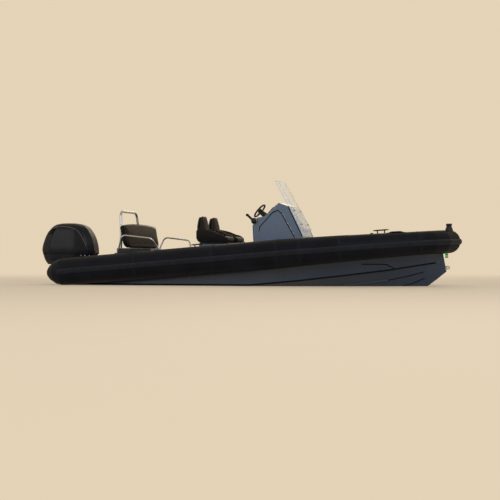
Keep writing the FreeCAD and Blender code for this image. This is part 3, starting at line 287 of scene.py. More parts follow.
class Palette:
    """The boat's finishes."""

    TUBE = Finish("tube_fabric", (0.0045, 0.0052, 0.0080), (0.0075, 0.0085, 0.0125), (0.42, 0.56),
                  relief=Relief.WEAVE, shine=0.07, patch=2.2)
    TAPE = Finish("seam_tape", (0.0062, 0.0072, 0.0102), (0.0095, 0.0108, 0.0145), (0.5, 0.66),
                  shine=0.08, relief=Relief.WEAVE)
    CONE = Finish("cone_rubber", (0.005, 0.0056, 0.0078), (0.008, 0.009, 0.0115), (0.45, 0.6),
                  shine=0.09, relief=Relief.STIPPLE)
    STRAKE = Finish("strake_rubber", (0.0102, 0.0120, 0.0170), (0.0145, 0.0168, 0.0222), (0.38, 0.55),
                    shine=0.12, relief=Relief.STIPPLE, patch=9)
    # The hull's blue-grey gelcoat, darkened: part of its dark tone is painted shade
    HULL = Finish("hull_gelcoat", (0.028, 0.043, 0.072), (0.023, 0.036, 0.061), (0.2, 0.32), coat=0.15,
                  shine=0.3, relief=Relief.ORANGE_PEEL, patch=1.6)
    DECK = Finish("deck_gelcoat", (0.30, 0.335, 0.38), (0.26, 0.29, 0.33), (0.32, 0.46), coat=0.2,
                  relief=Relief.NON_SKID, patch=2.5)
    # The console's gelcoat, darker and bluer than its own light grey: part of its tone is painted shade
    CONSOLE = Finish("console_gelcoat", (0.084, 0.122, 0.180), (0.072, 0.106, 0.158), (0.22, 0.34),
                     coat=0.22, relief=Relief.ORANGE_PEEL, patch=2.4)
    # Pale warm panel behind the windscreen: its pale tone paints the glare on the screen's lower half
    FRONT = Finish("console_front", (0.60, 0.585, 0.575), (0.54, 0.53, 0.525), (0.3, 0.42), coat=0.2,
                   patch=5)
    MOULDING = Finish("black_moulding", (0.009, 0.0095, 0.0105), (0.015, 0.0155, 0.017), (0.36, 0.5),
                      shine=0.22, relief=Relief.STIPPLE, patch=14)
    DASH = Finish("dash_black", (0.012, 0.0125, 0.014), (0.018, 0.019, 0.021), (0.4, 0.52),
                  relief=Relief.STIPPLE)
    SCREEN = Finish("screen_acrylic", (0.93, 0.955, 0.965), (0.90, 0.93, 0.945), (0.01, 0.035),
                    clear=0.84, patch=4)
    # Pale windscreen edge: its colour paints the light caught in the acrylic's edge
    SCREEN_EDGE = Finish("screen_edge", (0.60, 0.66, 0.70), (0.50, 0.56, 0.60), (0.16, 0.26), patch=30)
    STEEL = Finish("stainless", (0.42, 0.44, 0.47), (0.32, 0.34, 0.37), (0.14, 0.27), metal=1,
                   relief=Relief.BRUSHED, patch=11)
    CLEAT = Finish("cleat_black", (0.012, 0.0125, 0.014), (0.018, 0.019, 0.021), (0.3, 0.42), metal=0.4,
                   patch=24)
    VINYL = Finish("seat_vinyl", (0.0055, 0.0050, 0.0050), (0.0105, 0.0088, 0.0080), (0.4, 0.56),
                   shine=0.09, relief=Relief.GRAIN, patch=5)
    VINYL_FACE = Finish("seat_face_vinyl", (0.019, 0.0120, 0.0095), (0.026, 0.016, 0.0125),
                        (0.42, 0.58), shine=0.08, relief=Relief.GRAIN, patch=4)
    THREAD = Finish("thread", (0.05, 0.045, 0.042), (0.07, 0.062, 0.056), (0.6, 0.7),
                    relief=Relief.WEAVE, patch=60)
    GREEN = Finish("green_lens", (0.015, 0.26, 0.06), (0.02, 0.34, 0.09), (0.08, 0.15), glow=0.9,
                   clear=0.3, patch=30)
    RED = Finish("red_lens", (0.5, 0.02, 0.015), (0.6, 0.035, 0.02), (0.08, 0.15), glow=0.35,
                 clear=0.3, patch=30)
    CAST = Finish("engine_metal", (0.022, 0.0235, 0.026), (0.032, 0.034, 0.037), (0.36, 0.5),
                  metal=0.35, relief=Relief.STIPPLE, patch=18)
    PAINT = Finish("engine_paint", (0.0085, 0.009, 0.0105), (0.0125, 0.013, 0.015), (0.24, 0.36),
                   coat=0.3, shine=0.35, relief=Relief.ORANGE_PEEL, patch=5)
    COWL = Finish("cowl_plastic", (0.0050, 0.0058, 0.0082), (0.0080, 0.0092, 0.0125), (0.32, 0.44),
                  coat=0.07, shine=0.14, relief=Relief.ORANGE_PEEL, patch=4)
    # Lighter, glossier strip along the cowl's crease: a painted highlight
    COWL_EDGE = Finish("cowl_edge", (0.03, 0.034, 0.042), (0.042, 0.046, 0.056), (0.22, 0.34),
                       coat=0.5, relief=Relief.ORANGE_PEEL)
    PROP = Finish("prop_steel", (0.55, 0.56, 0.58), (0.42, 0.43, 0.45), (0.12, 0.24), metal=1,
                  relief=Relief.BRUSHED, patch=24)
    GRIP = Finish("wheel_grip", (0.010, 0.0095, 0.0095), (0.016, 0.015, 0.0145), (0.42, 0.58),
                  shine=0.3, relief=Relief.GRAIN, patch=20)
    GLASS = Finish("display_glass", (0.006, 0.007, 0.009), (0.009, 0.0105, 0.013), (0.06, 0.1),
                   coat=0.6, patch=8)
    # Near-black rubber for seals, louvres and intakes, and for the strips that paint shade along the hull and
    # in the console's grooves
    GASKET = Finish("gasket", (0.005, 0.0055, 0.007), (0.008, 0.0085, 0.0105), (0.6, 0.75),
                    shine=0.06, relief=Relief.STIPPLE)
    ZINC = Finish("anode", (0.36, 0.37, 0.385), (0.26, 0.27, 0.29), (0.5, 0.7), metal=0.7,
                  relief=Relief.STIPPLE)
    AMBER = Finish("flush_port", (0.32, 0.045, 0.02), (0.4, 0.07, 0.03), (0.3, 0.4), patch=40)
    PALE = Finish("pale_print", (0.42, 0.44, 0.46), (0.36, 0.38, 0.4), (0.4, 0.5), patch=50)

    @classmethod
    def dress_nodes(cls, nodes: dict[str, Piece]) -> None:
        """Gives every carried-over solid the finish of its slot.

        Args:
            nodes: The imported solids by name.
        """
        finishes = {finish.name: finish for finish in vars(cls).values() if isinstance(finish, Finish)}
        for node in nodes.values():
            for holder in node.material_slots:
                holder.material = finishes[holder.material.name.split(".")[0]].material()
        for holder in nodes["cleats"].material_slots:
            holder.material = cls.CLEAT.material()


# Mesh making


class Surface:
    """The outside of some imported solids, for laying fine parts on it."""

    def __init__(self, *nodes: Piece) -> None:
        """Reads the solids' faces.

        Args:
            *nodes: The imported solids.
        """
        points: list[Vector] = []
        faces: list[list[int]] = []
        for node in nodes:
            shift = len(points)
            points += [vertex.co.copy() for vertex in node.data.vertices]
            faces += [[shift + number for number in polygon.vertices] for polygon in node.data.polygons]
        self.tree = BVHTree.FromPolygons(points, faces)

    def spot(self, start: Vector, way: Vector) -> Vector | None:
        """Gives the place where a ray of unit length meets the surface, or None."""
        return self.tree.ray_cast(start, way)[0]

    def hit(self, start: Vector, way: Vector) -> Hit | None:
        """Follows a ray to the surface.

        Args:
            start: Where the ray starts.
            way: Where it goes.

        Returns:
            The spot and the way the surface faces there, or None beside it.
        """
        spot, normal, _, _ = self.tree.ray_cast(start, way.normalized())
        if spot is None:
            return None
        return spot, (normal if normal.dot(way) < 0 else -normal)

    def trail(self, starts: Iterable[Vector], way: Vector) -> list[Hit]:
        """Follows a row of rays to the surface and keeps those that meet it."""
        return [found for start in starts if (found := self.hit(start, way))]


def smoothstep(value: float) -> float:
    """Eases a value from 0 to 1, held within them."""
    held = min(max(value, 0), 1)
    return held * held * (3 - 2 * held)


def ends_eased(share: float, steep: float) -> float:
    """Eases up from 0 at both ends of a run to 1 along its middle."""
    return smoothstep(min(share, 1 - share) * steep)


def spread(low: float, high: float, count: int) -> list[float]:
    """Lists evenly spaced values from low to high, both ends among them."""
    return [low + (high - low) * step / (count - 1) for step in range(count)]


def circle(count: int) -> list[tuple[float, float]]:
    """Lists the cosine and the sine of evenly spaced angles round a circle."""
    return [(math.cos(turn), math.sin(turn)) for turn in (math.tau * step / count for step in range(count))]


def axes(out: Vector) -> tuple[Vector, Vector, Vector]:
    """Gives a direction and two directions across it, all of unit length.

    Args:
        out: The direction.

    Returns:
        The three directions.
    """
    out = out.normalized()
    across = out.orthogonal().normalized()
    return out, across, out.cross(across)


def row_at(rows: Rows, place: float) -> tuple[int, float]:
    """Finds a place among rows whose first number is their place, in rising order.

    Args:
        rows: The rows.
        place: The place, held within them.

    Returns:
        The number of the row before it, and its share of the way to the next row.
    """
    last = len(rows) - 1
    place = min(max(place, rows[0][0]), rows[last][0])
    index = next((i for i in range(last) if place <= rows[i + 1][0]), last - 1)
    return index, (place - rows[index][0]) / (rows[index + 1][0] - rows[index][0])


def between(rows: Rows, place: float) -> list[float]:
    """Reads a table of rows at a place between them, along a smooth line.

    Args:
        rows: Rows whose first number is their place, in rising order.
        place: Where to read.

    Returns:
        The other numbers at that place.
    """
    index, share = row_at(rows, place)
    before, low = rows[max(index - 1, 0)], rows[index]
    high, after = rows[index + 1], rows[min(index + 2, len(rows) - 1)]
    square, cube = share * share, share**3
    values = []
    for column in range(1, len(low)):
        rise = (high[column] - before[column]) / (high[0] - before[0]) * (high[0] - low[0])
        fall = (after[column] - low[column]) / (after[0] - low[0]) * (high[0] - low[0])
        values.append((2 * cube - 3 * square + 1) * low[column] + (cube - 2 * square + share) * rise
                      + (3 * square - 2 * cube) * high[column] + (cube - square) * fall)
    return values


def straight(rows: Rows, place: float) -> list[float]:
    """Reads a table of rows at a place between them, along straight lines."""
    index, share = row_at(rows, place)
    return [one + (other - one) * share for one, other in zip(rows[index][1:], rows[index + 1][1:])]


def refined(line: Rows, steps: int) -> list[tuple[float, ...]]:
    """Puts points between the points of a line.

    Args:
        line: The line's points.
        steps: Into how many steps each straight part is cut.

    Returns:
        The points of the finer line.
    """
    points = [tuple(a + (b - a) * (step / steps) for a, b in zip(start, end))
              for start, end in zip(line, line[1:]) for step in range(steps)]
    return [*points, tuple(line[-1])]


def softened(line: Rows, rounds: int) -> Rows:
    """Rounds off the corners of a line, whose ends stay.

    Args:
        line: The line's points.
        rounds: How often it is smoothed.

    Returns:
        The points of the smoother line.
    """
    for _ in range(rounds):
        line = [line[0], *[tuple((a + 2 * b + c) / 4 for a, b, c in zip(*line[i - 1:i + 2]))
                           for i in range(1, len(line) - 1)], line[-1]]
    return line


def placed(name: str, data: bpy.types.ID) -> Piece:
    """Puts a mesh, a lamp or a camera into the scene.

    Args:
        name: The name of its object.
        data: What the object holds.

    Returns:
        The object.
    """
    piece = bpy.data.objects.new(name, data)
    bpy.context.scene.collection.objects.link(piece)
    return piece


def skin(rings: Sequence[Sequence[Vector]], closed: bool = True, capped: bool = True) -> Shape:
    """Joins rings of points into a surface.

    Args:
        rings: Rings with the same number of points.
        closed: Whether each ring closes on itself.
        capped: Whether the first and last rings are filled.

    Returns:
        The points and the faces.
    """
    count = len(rings[0])
    points = [Vector(point) for ring in rings for point in ring]
    faces = []
    for row in range(len(rings) - 1):
        for column in range(count if closed else count - 1):
            start, ahead = row * count + column, row * count + (column + 1) % count
            faces.append([start, ahead, ahead + count, start + count])
    if capped:
        faces.append(list(range(count)))
        faces.append([len(points) - 1 - number for number in range(count)])
    return points, faces


def rope(path: Sequence[Vector], radius: float | Callable[[float], float], sides: int = 8) -> Shape:
    """Sweeps a circle along a path.

    Args:
        path: Points along the path.
        radius: The circle's radius, or a function of the share of the path.
        sides: Points round the circle.

    Returns:
        The points and the faces.
    """
    rings, across = [], None
    for number, spot in enumerate(path):
        way = (path[min(number + 1, len(path) - 1)] - path[max(number - 1, 0)]).normalized()
        if across is None:
            across = way.orthogonal().normalized()
        across = (across - way * across.dot(way)).normalized()
        other = way.cross(across)
        size = radius(number / (len(path) - 1)) if callable(radius) else radius
        rings.append([spot + (across * a + other * b) * size for a, b in circle(sides)])
    return skin(rings)


def rounded_ring(centre: Vector, across: Vector, up: Vector, square: float, count: int) -> list[Vector]:
    """Draws a ring round a centre, an ellipse where square is 2 and squarer where it is more."""
    return [centre + across * math.copysign(abs(side) ** (2 / square), side)
            + up * math.copysign(abs(rise) ** (2 / square), rise) for side, rise in circle(count)]


def ribbon(path: Sequence[Hit], wide: float, high: float) -> Shape:
    """Lays a flat bevelled strip along a path on a face.

    Args:
        path: Spots on the face, each with the way that the face looks there.
        wide: The strip's width.
        high: Its height over the face.

    Returns:
        The points and the faces.
    """
    section = ((-0.5, -0.0008), (-0.46, high * 0.7), (-0.36, high), (0.36, high), (0.46, high * 0.7),
               (0.5, -0.0008))
    rings = []
    for number, (spot, out) in enumerate(path):
        ahead = path[min(number + 1, len(path) - 1)][0] - path[max(number - 1, 0)][0]
        across = ahead.cross(out).normalized()
        rings.append([spot + across * (wide * share) + out * rise for share, rise in section])
    return skin(rings)


def turned(spot: Vector, out: Vector, rows: Rows, count: int = 32) -> Shape:
    """Turns a profile about an axis.

    Args:
        spot: The middle of its foot.
        out: The axis.
        rows: The profile's radius and height, from its foot.
        count: Points round it.

    Returns:
        The points and the faces.
    """
    out, across, other = axes(out)
    return skin([[spot + out * rise + (across * a + other * b) * wide for a, b in circle(count)]
                 for wide, rise in rows])


def pan_head(spot: Vector, out: Vector, radius: float, high: float) -> Shape:
    """Shapes a pan-head screw: a low dome with a cross recess.

    Args:
        spot: The middle of its foot.
        out: The direction that it faces.
        radius: Its radius.
        high: Its height.

    Returns:
        The points and the faces.
    """
    out, across, other = axes(out)
    rings = []
    for wide, rise in ((1, 0), (1, 0.45), (0.86, 0.82), (0.5, 1), (0.42, 0.96), (0.3, 0.55)):
        reaches = [radius * wide * (1 if wide > 0.45 else (1.25 if number % 4 == 0 else 0.7))
                   for number in range(16)]
        rings.append([spot + out * (high * rise) + (across * a + other * b) * reach
                      for (a, b), reach in zip(circle(16), reaches)])
    return skin(rings)


def plate(corners: Sequence[Vector], out: Vector, thick: float, edge: float, crown: float = 0) -> Shape:
    """Shapes a thin plate on a face, with a bevelled edge and an optional crown.

    Args:
        corners: Its outline on the face.
        out: The direction that it faces.
        thick: Its thickness.
        edge: The width of its bevel.
        crown: How much its middle stands proud of its edge.

    Returns:
        The points and the faces.
    """
    centre = sum(corners, Vector()) / len(corners)
    out = out.normalized()
    rings = [[corner + (centre - corner).normalized() * inset + out * rise for corner in corners]
             for inset, rise in ((0, 0), (0, thick - edge * 0.6), (edge * 0.3, thick - edge * 0.15),
                                 (edge, thick))]
    rings += [[centre + (corner - centre) * share + out * (thick + crown * (1 - share * share))
               for corner in rings[3]] for share in (0.66, 0.33, 0.06)]
    return skin(rings)


def rounded_outline(half_a: float, half_b: float, radius: float, steps: int = 5) -> list[tuple[float, float]]:
    """Lists the outline of a rectangle with round corners.

    Args:
        half_a: Half its first side.
        half_b: Half its second side.
        radius: The corners' radius.
        steps: Points a corner.

    Returns:
        The outline's points in the plane.
    """
    outline = []
    for corner, (side_a, side_b) in enumerate(((1, 1), (-1, 1), (-1, -1), (1, -1))):
        for step in range(steps):
            turn = math.pi / 2 * (corner + step / (steps - 1))
            outline.append((side_a * (half_a - radius) + radius * math.cos(turn),
                            side_b * (half_b - radius) + radius * math.sin(turn)))
    return outline


def two_tone(pad: Piece, finish: Finish, test: Callable[[Vector], bool]) -> None:
    """Gives the faces of a pad that pass a test a second finish.

    Args:
        pad: The pad.
        finish: The second finish.
        test: Says whether the face with this middle takes it.
    """
    pad.data.materials.append(finish.material())
    for polygon in pad.data.polygons:
        if test(polygon.center):
            polygon.material_index = 1


def applied(piece: Piece) -> None:
    """Turns a piece's modifiers into its mesh.

    Args:
        piece: The piece.
    """
    seen = piece.evaluated_get(bpy.context.evaluated_depsgraph_get())
    mesh = bpy.data.meshes.new_from_object(seen)
    piece.modifiers.clear()
    piece.data = mesh


@dataclass
class Stuffing:
    """How a pad is stuffed: cloth under pressure over a remeshed form.

    Attributes:
        voxel: The remesh's size in metres.
        cap: The most that a point may move in metres.
        fill: How tight the pad is, from 0 to 1; not used.
        pressure: The pressure in the cloth.
        frames: How many frames the cloth runs.
        stiffness: The cloth's stiffness in pull, shear and bending.
    """

    voxel: float
    cap: float
    fill: float
    pressure: float = 4
    frames: int = 20
    stiffness: tuple[float, float, float] = (18, 6, 1.5)

    def plump(self, pad: Piece, held: Callable[[Vector], float]) -> None:
        """Swells a pad between its seams.

        Args:
            pad: The pad, as a closed mesh a little smaller than it ends.
            held: Gives how firmly a point is sewn down or rests, from 0 to 1.
        """
        finish = pad.data.materials[0]
        remesh = pad.modifiers.new("remesh", "REMESH")
        remesh.mode = "VOXEL"
        remesh.voxel_size = self.voxel
        applied(pad)
        self._blow(pad, held)
        pad.modifiers.new("finer", "SUBSURF").levels = 1
        applied(pad)
        pad.data.shade_smooth()
        pad.data.materials.clear()
        pad.data.materials.append(finish)

    def _blow(self, pad: Piece, held: Callable[[Vector], float]) -> None:
        """Runs the cloth and keeps its result, with each move capped.

        Args:
            pad: The pad.
            held: Gives how firmly a point is sewn down or rests, from 0 to 1.
        """
        scene = bpy.context.scene
        rest = [vertex.co.copy() for vertex in pad.data.vertices]
        group = pad.vertex_groups.new(name="held")
        for number, spot in enumerate(rest):
            group.add([number], held(spot), "REPLACE")
        cloth = pad.modifiers.new("cloth", "CLOTH")
        settings = cloth.settings
        settings.quality = 4
        settings.mass = 0.4
        settings.tension_stiffness = settings.compression_stiffness = self.stiffness[0]
        settings.shear_stiffness, settings.bending_stiffness = self.stiffness[1:]
        settings.use_pressure = True
        settings.uniform_pressure_force = self.pressure
        settings.vertex_group_mass = "held"
        settings.effector_weights.gravity = 0
        cloth.point_cache.frame_start, cloth.point_cache.frame_end = 1, self.frames
        for frame in range(1, self.frames + 1):
            scene.frame_set(frame)
        seen = pad.evaluated_get(bpy.context.evaluated_depsgraph_get())
        moved = [vertex.co.copy() for vertex in seen.data.vertices]
        scene.frame_set(1)
        pad.modifiers.remove(cloth)
        for vertex, start, end in zip(pad.data.vertices, rest, moved):
            way = end - start
            if way.length > self.cap:
                way *= self.cap / way.length
            vertex.co = start + way


@dataclass
class Assembly:
    """A sub-assembly of the boat.

    Attributes:
        nodes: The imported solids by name.
        pieces: The pieces that it has built, in order.
    """

    # The body that its pieces ride on, where they have no other, and a material slot that they are not given
    BODY = "hull"
    SLOT = ""

    nodes: dict[str, Piece]
    pieces: list[Piece] = field(default_factory=list, init=False)

    def build(self) -> None:
        """Builds the pieces."""
        raise NotImplementedError

    def add(self, name: str, parts: Iterable[Shape], finish: Finish, body: str = "", slot: str = "",
            stands_for: str = "") -> Piece:
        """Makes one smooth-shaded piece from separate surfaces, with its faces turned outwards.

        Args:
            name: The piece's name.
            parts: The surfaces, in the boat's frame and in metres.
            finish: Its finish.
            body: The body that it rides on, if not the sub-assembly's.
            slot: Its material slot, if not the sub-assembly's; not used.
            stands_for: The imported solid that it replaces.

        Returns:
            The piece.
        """
        points: list[Vector] = []
        faces: list[list[int]] = []
        for part_points, part_faces in parts:
            shift = len(points)
            points += part_points
            faces += [[shift + number for number in face] for face in part_faces]
        mesh = bpy.data.meshes.new(name)
        mesh.from_pydata(points, [], faces)
        mesh.validate()
        work = bmesh.new()
        work.from_mesh(mesh)
        bmesh.ops.recalc_face_normals(work, faces=work.faces)
        work.to_mesh(mesh)
        work.free()
        mesh.shade_smooth()
        mesh.materials.append(finish.material())
        piece = placed(name, mesh)
        self.pieces.append(piece)
        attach(piece, body or self.BODY)
        if stands_for:
            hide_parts(stands_for)
        if slot or self.SLOT:
            slot or self.SLOT
        return piece


class Upholstery(Assembly):
    """A sub-assembly with stuffed pads, all stuffed alike."""

    SLOT = "seat_vinyl"
    STUFFING: Stuffing

    def add_pad(self, name: str, rings: Sequence[Sequence[Vector]], finish: Finish,
                held: Callable[[Vector], float], **places: str) -> Piece:
        """Makes a stuffed pad.

        Args:
            name: The pad's name.
            rings: Its rings, a little inside the shape that it ends with.
            finish: Its finish.
            held: Gives how firmly a point is sewn down or rests, from 0 to 1.
            **places: Its body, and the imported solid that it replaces.

        Returns:
            The pad.
        """
        pad = self.add(name, [skin(rings)], finish, **places)
        self.STUFFING.plump(pad, held)
        return pad


# Sub-assemblies


@dataclass
class Studio:
    """The floor, backdrop, lamps, world light and camera."""

    floor_half: float = 420
    backdrop: Colour = (0.78, 0.655, 0.475)
    floor: Colour = (0.74, 0.58, 0.39)
    # Distances at which the floor starts to fade into the backdrop and has faded, and the fade at its middle
    fade: tuple[float, float] = (5, 20)
    lift: float = 0.3
    sky: Colour = (0.80, 0.86, 1.0)
    sky_strength: float = 0.62
    # Lamps: name, place, size, power, colour
    lamps: tuple = (("key", (9, -14, 9), 9, 900, (0.86, 0.92, 1.0)),
                    ("fill", (-12, -13, 6), 10, 420, (0.84, 0.90, 1.0)),
                    ("rim", (-3, 15, 7), 10, 420, (1.0, 0.86, 0.66)))
    lamps_aim: tuple[float, float, float] = (0, 0, 0.6)
    eye: tuple[float, float, float] = (6.18, -19.02, 0.45)
    heading_deg: float = 18
    pitch_deg: float = 0.594
    lens_px: float = 1060
    frame_px: float = 500

    def build(self) -> None:
        """Builds the whole stage."""
        self._floor()
        self._world()
        self._lamps()
        self._camera()
        bpy.context.scene.view_settings.view_transform = "Standard"

    def _floor(self) -> None:
        """Lays the plain floor at the waterline."""
        desk = FinishDesk("floor_finish")
        worn = tuple(value * 0.97 for value in self.floor)
        desk.fill(desk.shader, {"Base Color": desk.ramp(desk.noise(3), (0.3, self.floor), (0.7, worn)),
                                "Roughness": 0.75})
        reach = desk.add("VectorMath", {0: desk.place}, "Value", operation="LENGTH")
        near, far = self.fade
        fade = desk.add("MapRange", {"From Min": near, "From Max": far, "To Min": self.lift, "Value": reach},
                        "Result", clamp=True, interpolation_type="SMOOTHSTEP")
        glow = desk.add("Emission", {"Color": (*self.backdrop, 1)})
        mix = desk.add("MixShader", {"Fac": fade, 1: desk.shader.outputs["BSDF"], 2: glow})
        desk.fill(desk.tree.nodes["Material Output"], {"Surface": mix})
        half = self.floor_half
        mesh = bpy.data.meshes.new("floor")
        mesh.from_pydata([(-half, -half, 0), (half, -half, 0), (half, half, 0), (-half, half, 0)], [],
                         [(0, 1, 2, 3)])
        mesh.materials.append(desk.material)
        placed("floor", mesh)

    def _world(self) -> None:
        """Lights the boat evenly, and shows the plain backdrop to the camera and in reflections."""
        world = bpy.data.worlds.new("studio")
        bpy.context.scene.world = world
        world.use_nodes = True
        desk = NodeDesk(world.node_tree)
        camera, glossy, through = (desk.add("LightPath", {}, f"Is {kind} Ray")
                                   for kind in ("Camera", "Glossy", "Transmission"))
        shown = desk.math("MAXIMUM", desk.math("MAXIMUM", camera, glossy), through)
        soft = desk.add("Background", {"Color": (*self.sky, 1), "Strength": self.sky_strength})
        plain = desk.add("Background", {"Color": (*self.backdrop, 1), "Strength": 1})
        desk.fill(desk.tree.nodes["World Output"],
                  {"Surface": desk.add("MixShader", {"Fac": shown, 1: soft, 2: plain})})

    def _lamps(self) -> None:
        """Hangs the soft lamps."""
        for name, spot, size, power, colour in self.lamps:
            lamp = bpy.data.lights.new(name, "AREA")
            lamp.shape, lamp.size, lamp.energy, lamp.color = "DISK", size, power, colour
            holder = placed(name, lamp)
            holder.location = spot
            aim = Vector(self.lamps_aim) - Vector(spot)
            holder.rotation_euler = aim.to_track_quat("-Z", "Y").to_euler()
            holder.visible_camera = holder.visible_transmission = False

    def _camera(self) -> None:
        """Sets the camera at the photograph's viewing angle."""
        lens = bpy.data.cameras.new("camera")
        lens.sensor_width = 36
        lens.sensor_fit = "AUTO"
        lens.lens = self.lens_px / self.frame_px * lens.sensor_width
        lens.clip_start, lens.clip_end = 0.1, 1200
        camera = placed("camera", lens)
        heading, pitch = math.radians(self.heading_deg), math.radians(self.pitch_deg)
        look = Vector((-math.sin(heading) * math.cos(pitch), math.cos(heading) * math.cos(pitch),
                       math.sin(pitch)))
        camera.location = self.eye
        camera.rotation_euler = look.to_track_quat("-Z", "Y").to_euler()
        bpy.context.scene.camera = camera


@dataclass
class Collar(Assembly):
    """The inflatable collar's tapes, strake ribs, bond strips, valves and handles, laid on its tubes."""

    offset: float = 1.1
    aft_x: float = -3.35
    bow_start_x: float = 1.3
    arc: float = 3.9
    arc_deg: float = 30
    nose_deg: float = 42
    mid_z: float = 0.5065
    sheer: float = math.tan(math.radians(4.43))
    probe: float = 0.6
    plain_reach: float = 0.205
    tape_wide: float = 0.052
    lift: float = 0.0012
    foot: float = -0.0006
    # Tapes on the straight run, by their distance from its aft end, and how far they reach round the tube
    tapes: tuple = (0.03, 1.55, 3.05, 4.25)
    tape_deg: tuple[float, float] = (-112, 116)
    # Bond strip: angle up from the outward direction, whether it stands off the tube
    bond: tuple = ((104, False), (105, True), (110, True), (116, True), (117, False))
    # Heights of the ribs on the strake's face, and their radius
    ribs: tuple = (-0.017, 0.0, 0.017)
    rib: float = 0.0042
    valves: tuple = (1.1, 3.6, 5.9)
    valve_deg: float = 97
    # Valve profile: radius, height
    valve: tuple = ((0.034, 0), (0.034, 0.004), (0.028, 0.007), (0.023, 0.0075), (0.022, 0.013),
                    (0.017, 0.0155), (0.006, 0.0158))
    handle: float = 6.32
    handle_deg: float = 88
    handle_long: float = 0.24
    # Handle's patches: distance from its middle, the tube's radius under them, profile as radius and height
    patch_off: float = 0.125
    patch_tube: float = 0.23
    patch: tuple = ((0.048, SUNK), (0.046, 0.002), (0.03, 0.004), (0.012, 0.006))
    treads: tuple = ((1.9, 2.75), (4.75, 5.5))
    tread_deg: tuple[float, float] = (72, 98)
    # Tread strip's section: degrees across, height
    tread: tuple = ((-0.9, SUNK), (-0.55, 0.0022), (0.55, 0.0022), (0.9, SUNK))

    def __post_init__(self) -> None:
        """Works out the centre line's arcs and reads the tubes."""
        self.straight_run = self.bow_start_x - self.aft_x
        self.turn_one, self.turn_two = math.radians(self.arc_deg), math.radians(self.nose_deg)
        self.first_end = self.straight_run + self.arc * self.turn_one
        self.nose_x = self.bow_start_x + self.arc * math.sin(self.turn_one)
        self.nose_y = self.offset - self.arc * (1 - math.cos(self.turn_one))
        self.nose_arc = self.nose_y / (math.cos(self.turn_one) - math.cos(self.turn_one + self.turn_two))
        self.length = self.first_end + self.nose_arc * self.turn_two
        self.skins = {side: [Surface(self.nodes[f"tube_{part}_{name}"]) for part in ("side", "bow", "cone")]
                      for side, name in zip(SIDES, ("starboard", "port"))}

    def build(self) -> None:
        """Builds the collar's own pieces."""
        self._tapes()
        self._bond_strips()
        self._strake_ribs()
        self._valves()
        self._handles()
        self._tread_patches()

    def station(self, along: float, side: int) -> tuple[Vector, Vector, Vector]:
        """Finds a place on the collar's centre line.

        Args:
            along: The distance from the aft end along the line, in metres.
            side: -1 for starboard, 1 for port.

        Returns:
            The centre, the outward direction and the running direction.
        """
        if along <= self.straight_run:
            x, y, turn = self.aft_x + along, self.offset, 0.0
        elif along <= self.first_end:
            turn = (along - self.straight_run) / self.arc
            x, y = self.bow_start_x + self.arc * math.sin(turn), self.offset - self.arc * (1 - math.cos(turn))
        else:
            turn = min(self.turn_one + (along - self.first_end) / self.nose_arc,
                       self.turn_one + self.turn_two)
            x = self.nose_x + self.nose_arc * (math.sin(turn) - math.sin(self.turn_one))
            y = self.nose_y - self.nose_arc * (math.cos(self.turn_one) - math.cos(turn))
        centre = Vector((x, side * y, self.mid_z + self.sheer * x))
        outward = Vector((math.sin(turn), side * math.cos(turn), 0))
        running = Vector((math.cos(turn), -side * math.sin(turn), self.sheer * math.cos(turn))).normalized()
        return centre, outward, running

    def on_skin(self, along: float, side: int, angle_deg: float, lift: float) -> Vector:
        """Finds a point just off the tube.

        Args:
            along: The distance along the centre line.
            side: -1 for starboard, 1 for port.
            angle_deg: The angle up from the outward direction.
            lift: How far off the tube.

        Returns:
            The point.
        """
        centre, outward, running = self.station(along, side)
        angle = math.radians(angle_deg)
        up = outward.cross(running)
        up = up if up.z > 0 else -up
        way = outward * math.cos(angle) + up * math.sin(angle)
        spots = [tube.spot(centre + way * self.probe, -way) for tube in self.skins[side]]
        reach = max([(spot - centre).length for spot in spots if spot is not None], default=self.plain_reach)
        return centre + way * (reach + lift)

    def _sheet(self, side: int, rows: Iterable[Iterable[tuple[float, float, float]]]) -> Shape:
        """Lays an open sheet on the tube, from points as distance along, angle in degrees and lift."""
        return skin([[self.on_skin(along, side, angle, lift) for along, angle, lift in row] for row in rows],
                    closed=False, capped=False)

    def _tapes(self) -> None:
        """Lays the tapes over the collar's cross seams."""
        half = self.tape_wide / 2
        section = ((-half, self.foot), (-half + 0.003, self.lift), (-half * 0.4, self.lift),
                   (half * 0.4, self.lift), (half - 0.003, self.lift), (half, self.foot))
        places = [*self.tapes, self.straight_run + 0.02]
        places += [self.straight_run + self.arc * self.turn_one * step / 3 for step in (1, 2, 3)]
        parts = [self._sheet(side, [[(middle + along, angle, lift) for angle in spread(*self.tape_deg, 64)]
                                    for along, lift in section])
                 for side in SIDES for middle in places]
        self.add("collar_seam_tapes", parts, Palette.TAPE)

    def _bond_strips(self) -> None:
        """Lays the strips that cover the collar's edge along the deck."""
        run = spread(0.12, self.length - 0.5, 150)
        parts = [self._sheet(side, [[(along, angle, self.lift if proud else self.foot) for along in run]
                                    for angle, proud in self.bond])
                 for side in SIDES]
        self.add("collar_bond_strips", parts, Palette.TAPE)

    def _strake_ribs(self) -> None:
        """Runs three ribs along the rubbing strake's face."""
        face = Surface(self.nodes["rub_strake"])
        parts = []
        for height in self.ribs:
            path = []
            for side, order, short in ((-1, 1, 0), (1, -1, 0.004)):
                for along in spread(0.01, self.length - short, 150)[::order]:
                    centre, outward, _ = self.station(along, side)
                    spot = face.spot(centre + Vector((0, 0, height)) + outward * self.probe, -outward)
                    if spot is not None:
                        path.append(spot + outward * 0.0008)
            parts.append(rope(path, self.rib))
        self.add("strake_ribs", parts, Palette.STRAKE)

    def _valves(self) -> None:
        """Sets an air valve on the inboard face of each chamber."""
        parts = []
        for side in SIDES:
            for along in self.valves:
                spot = self.on_skin(along, side, self.valve_deg, -0.001)
                parts.append(turned(spot, spot - self.station(along, side)[0], self.valve, 28))
        self.add("air_valves", parts, Palette.MOULDING)

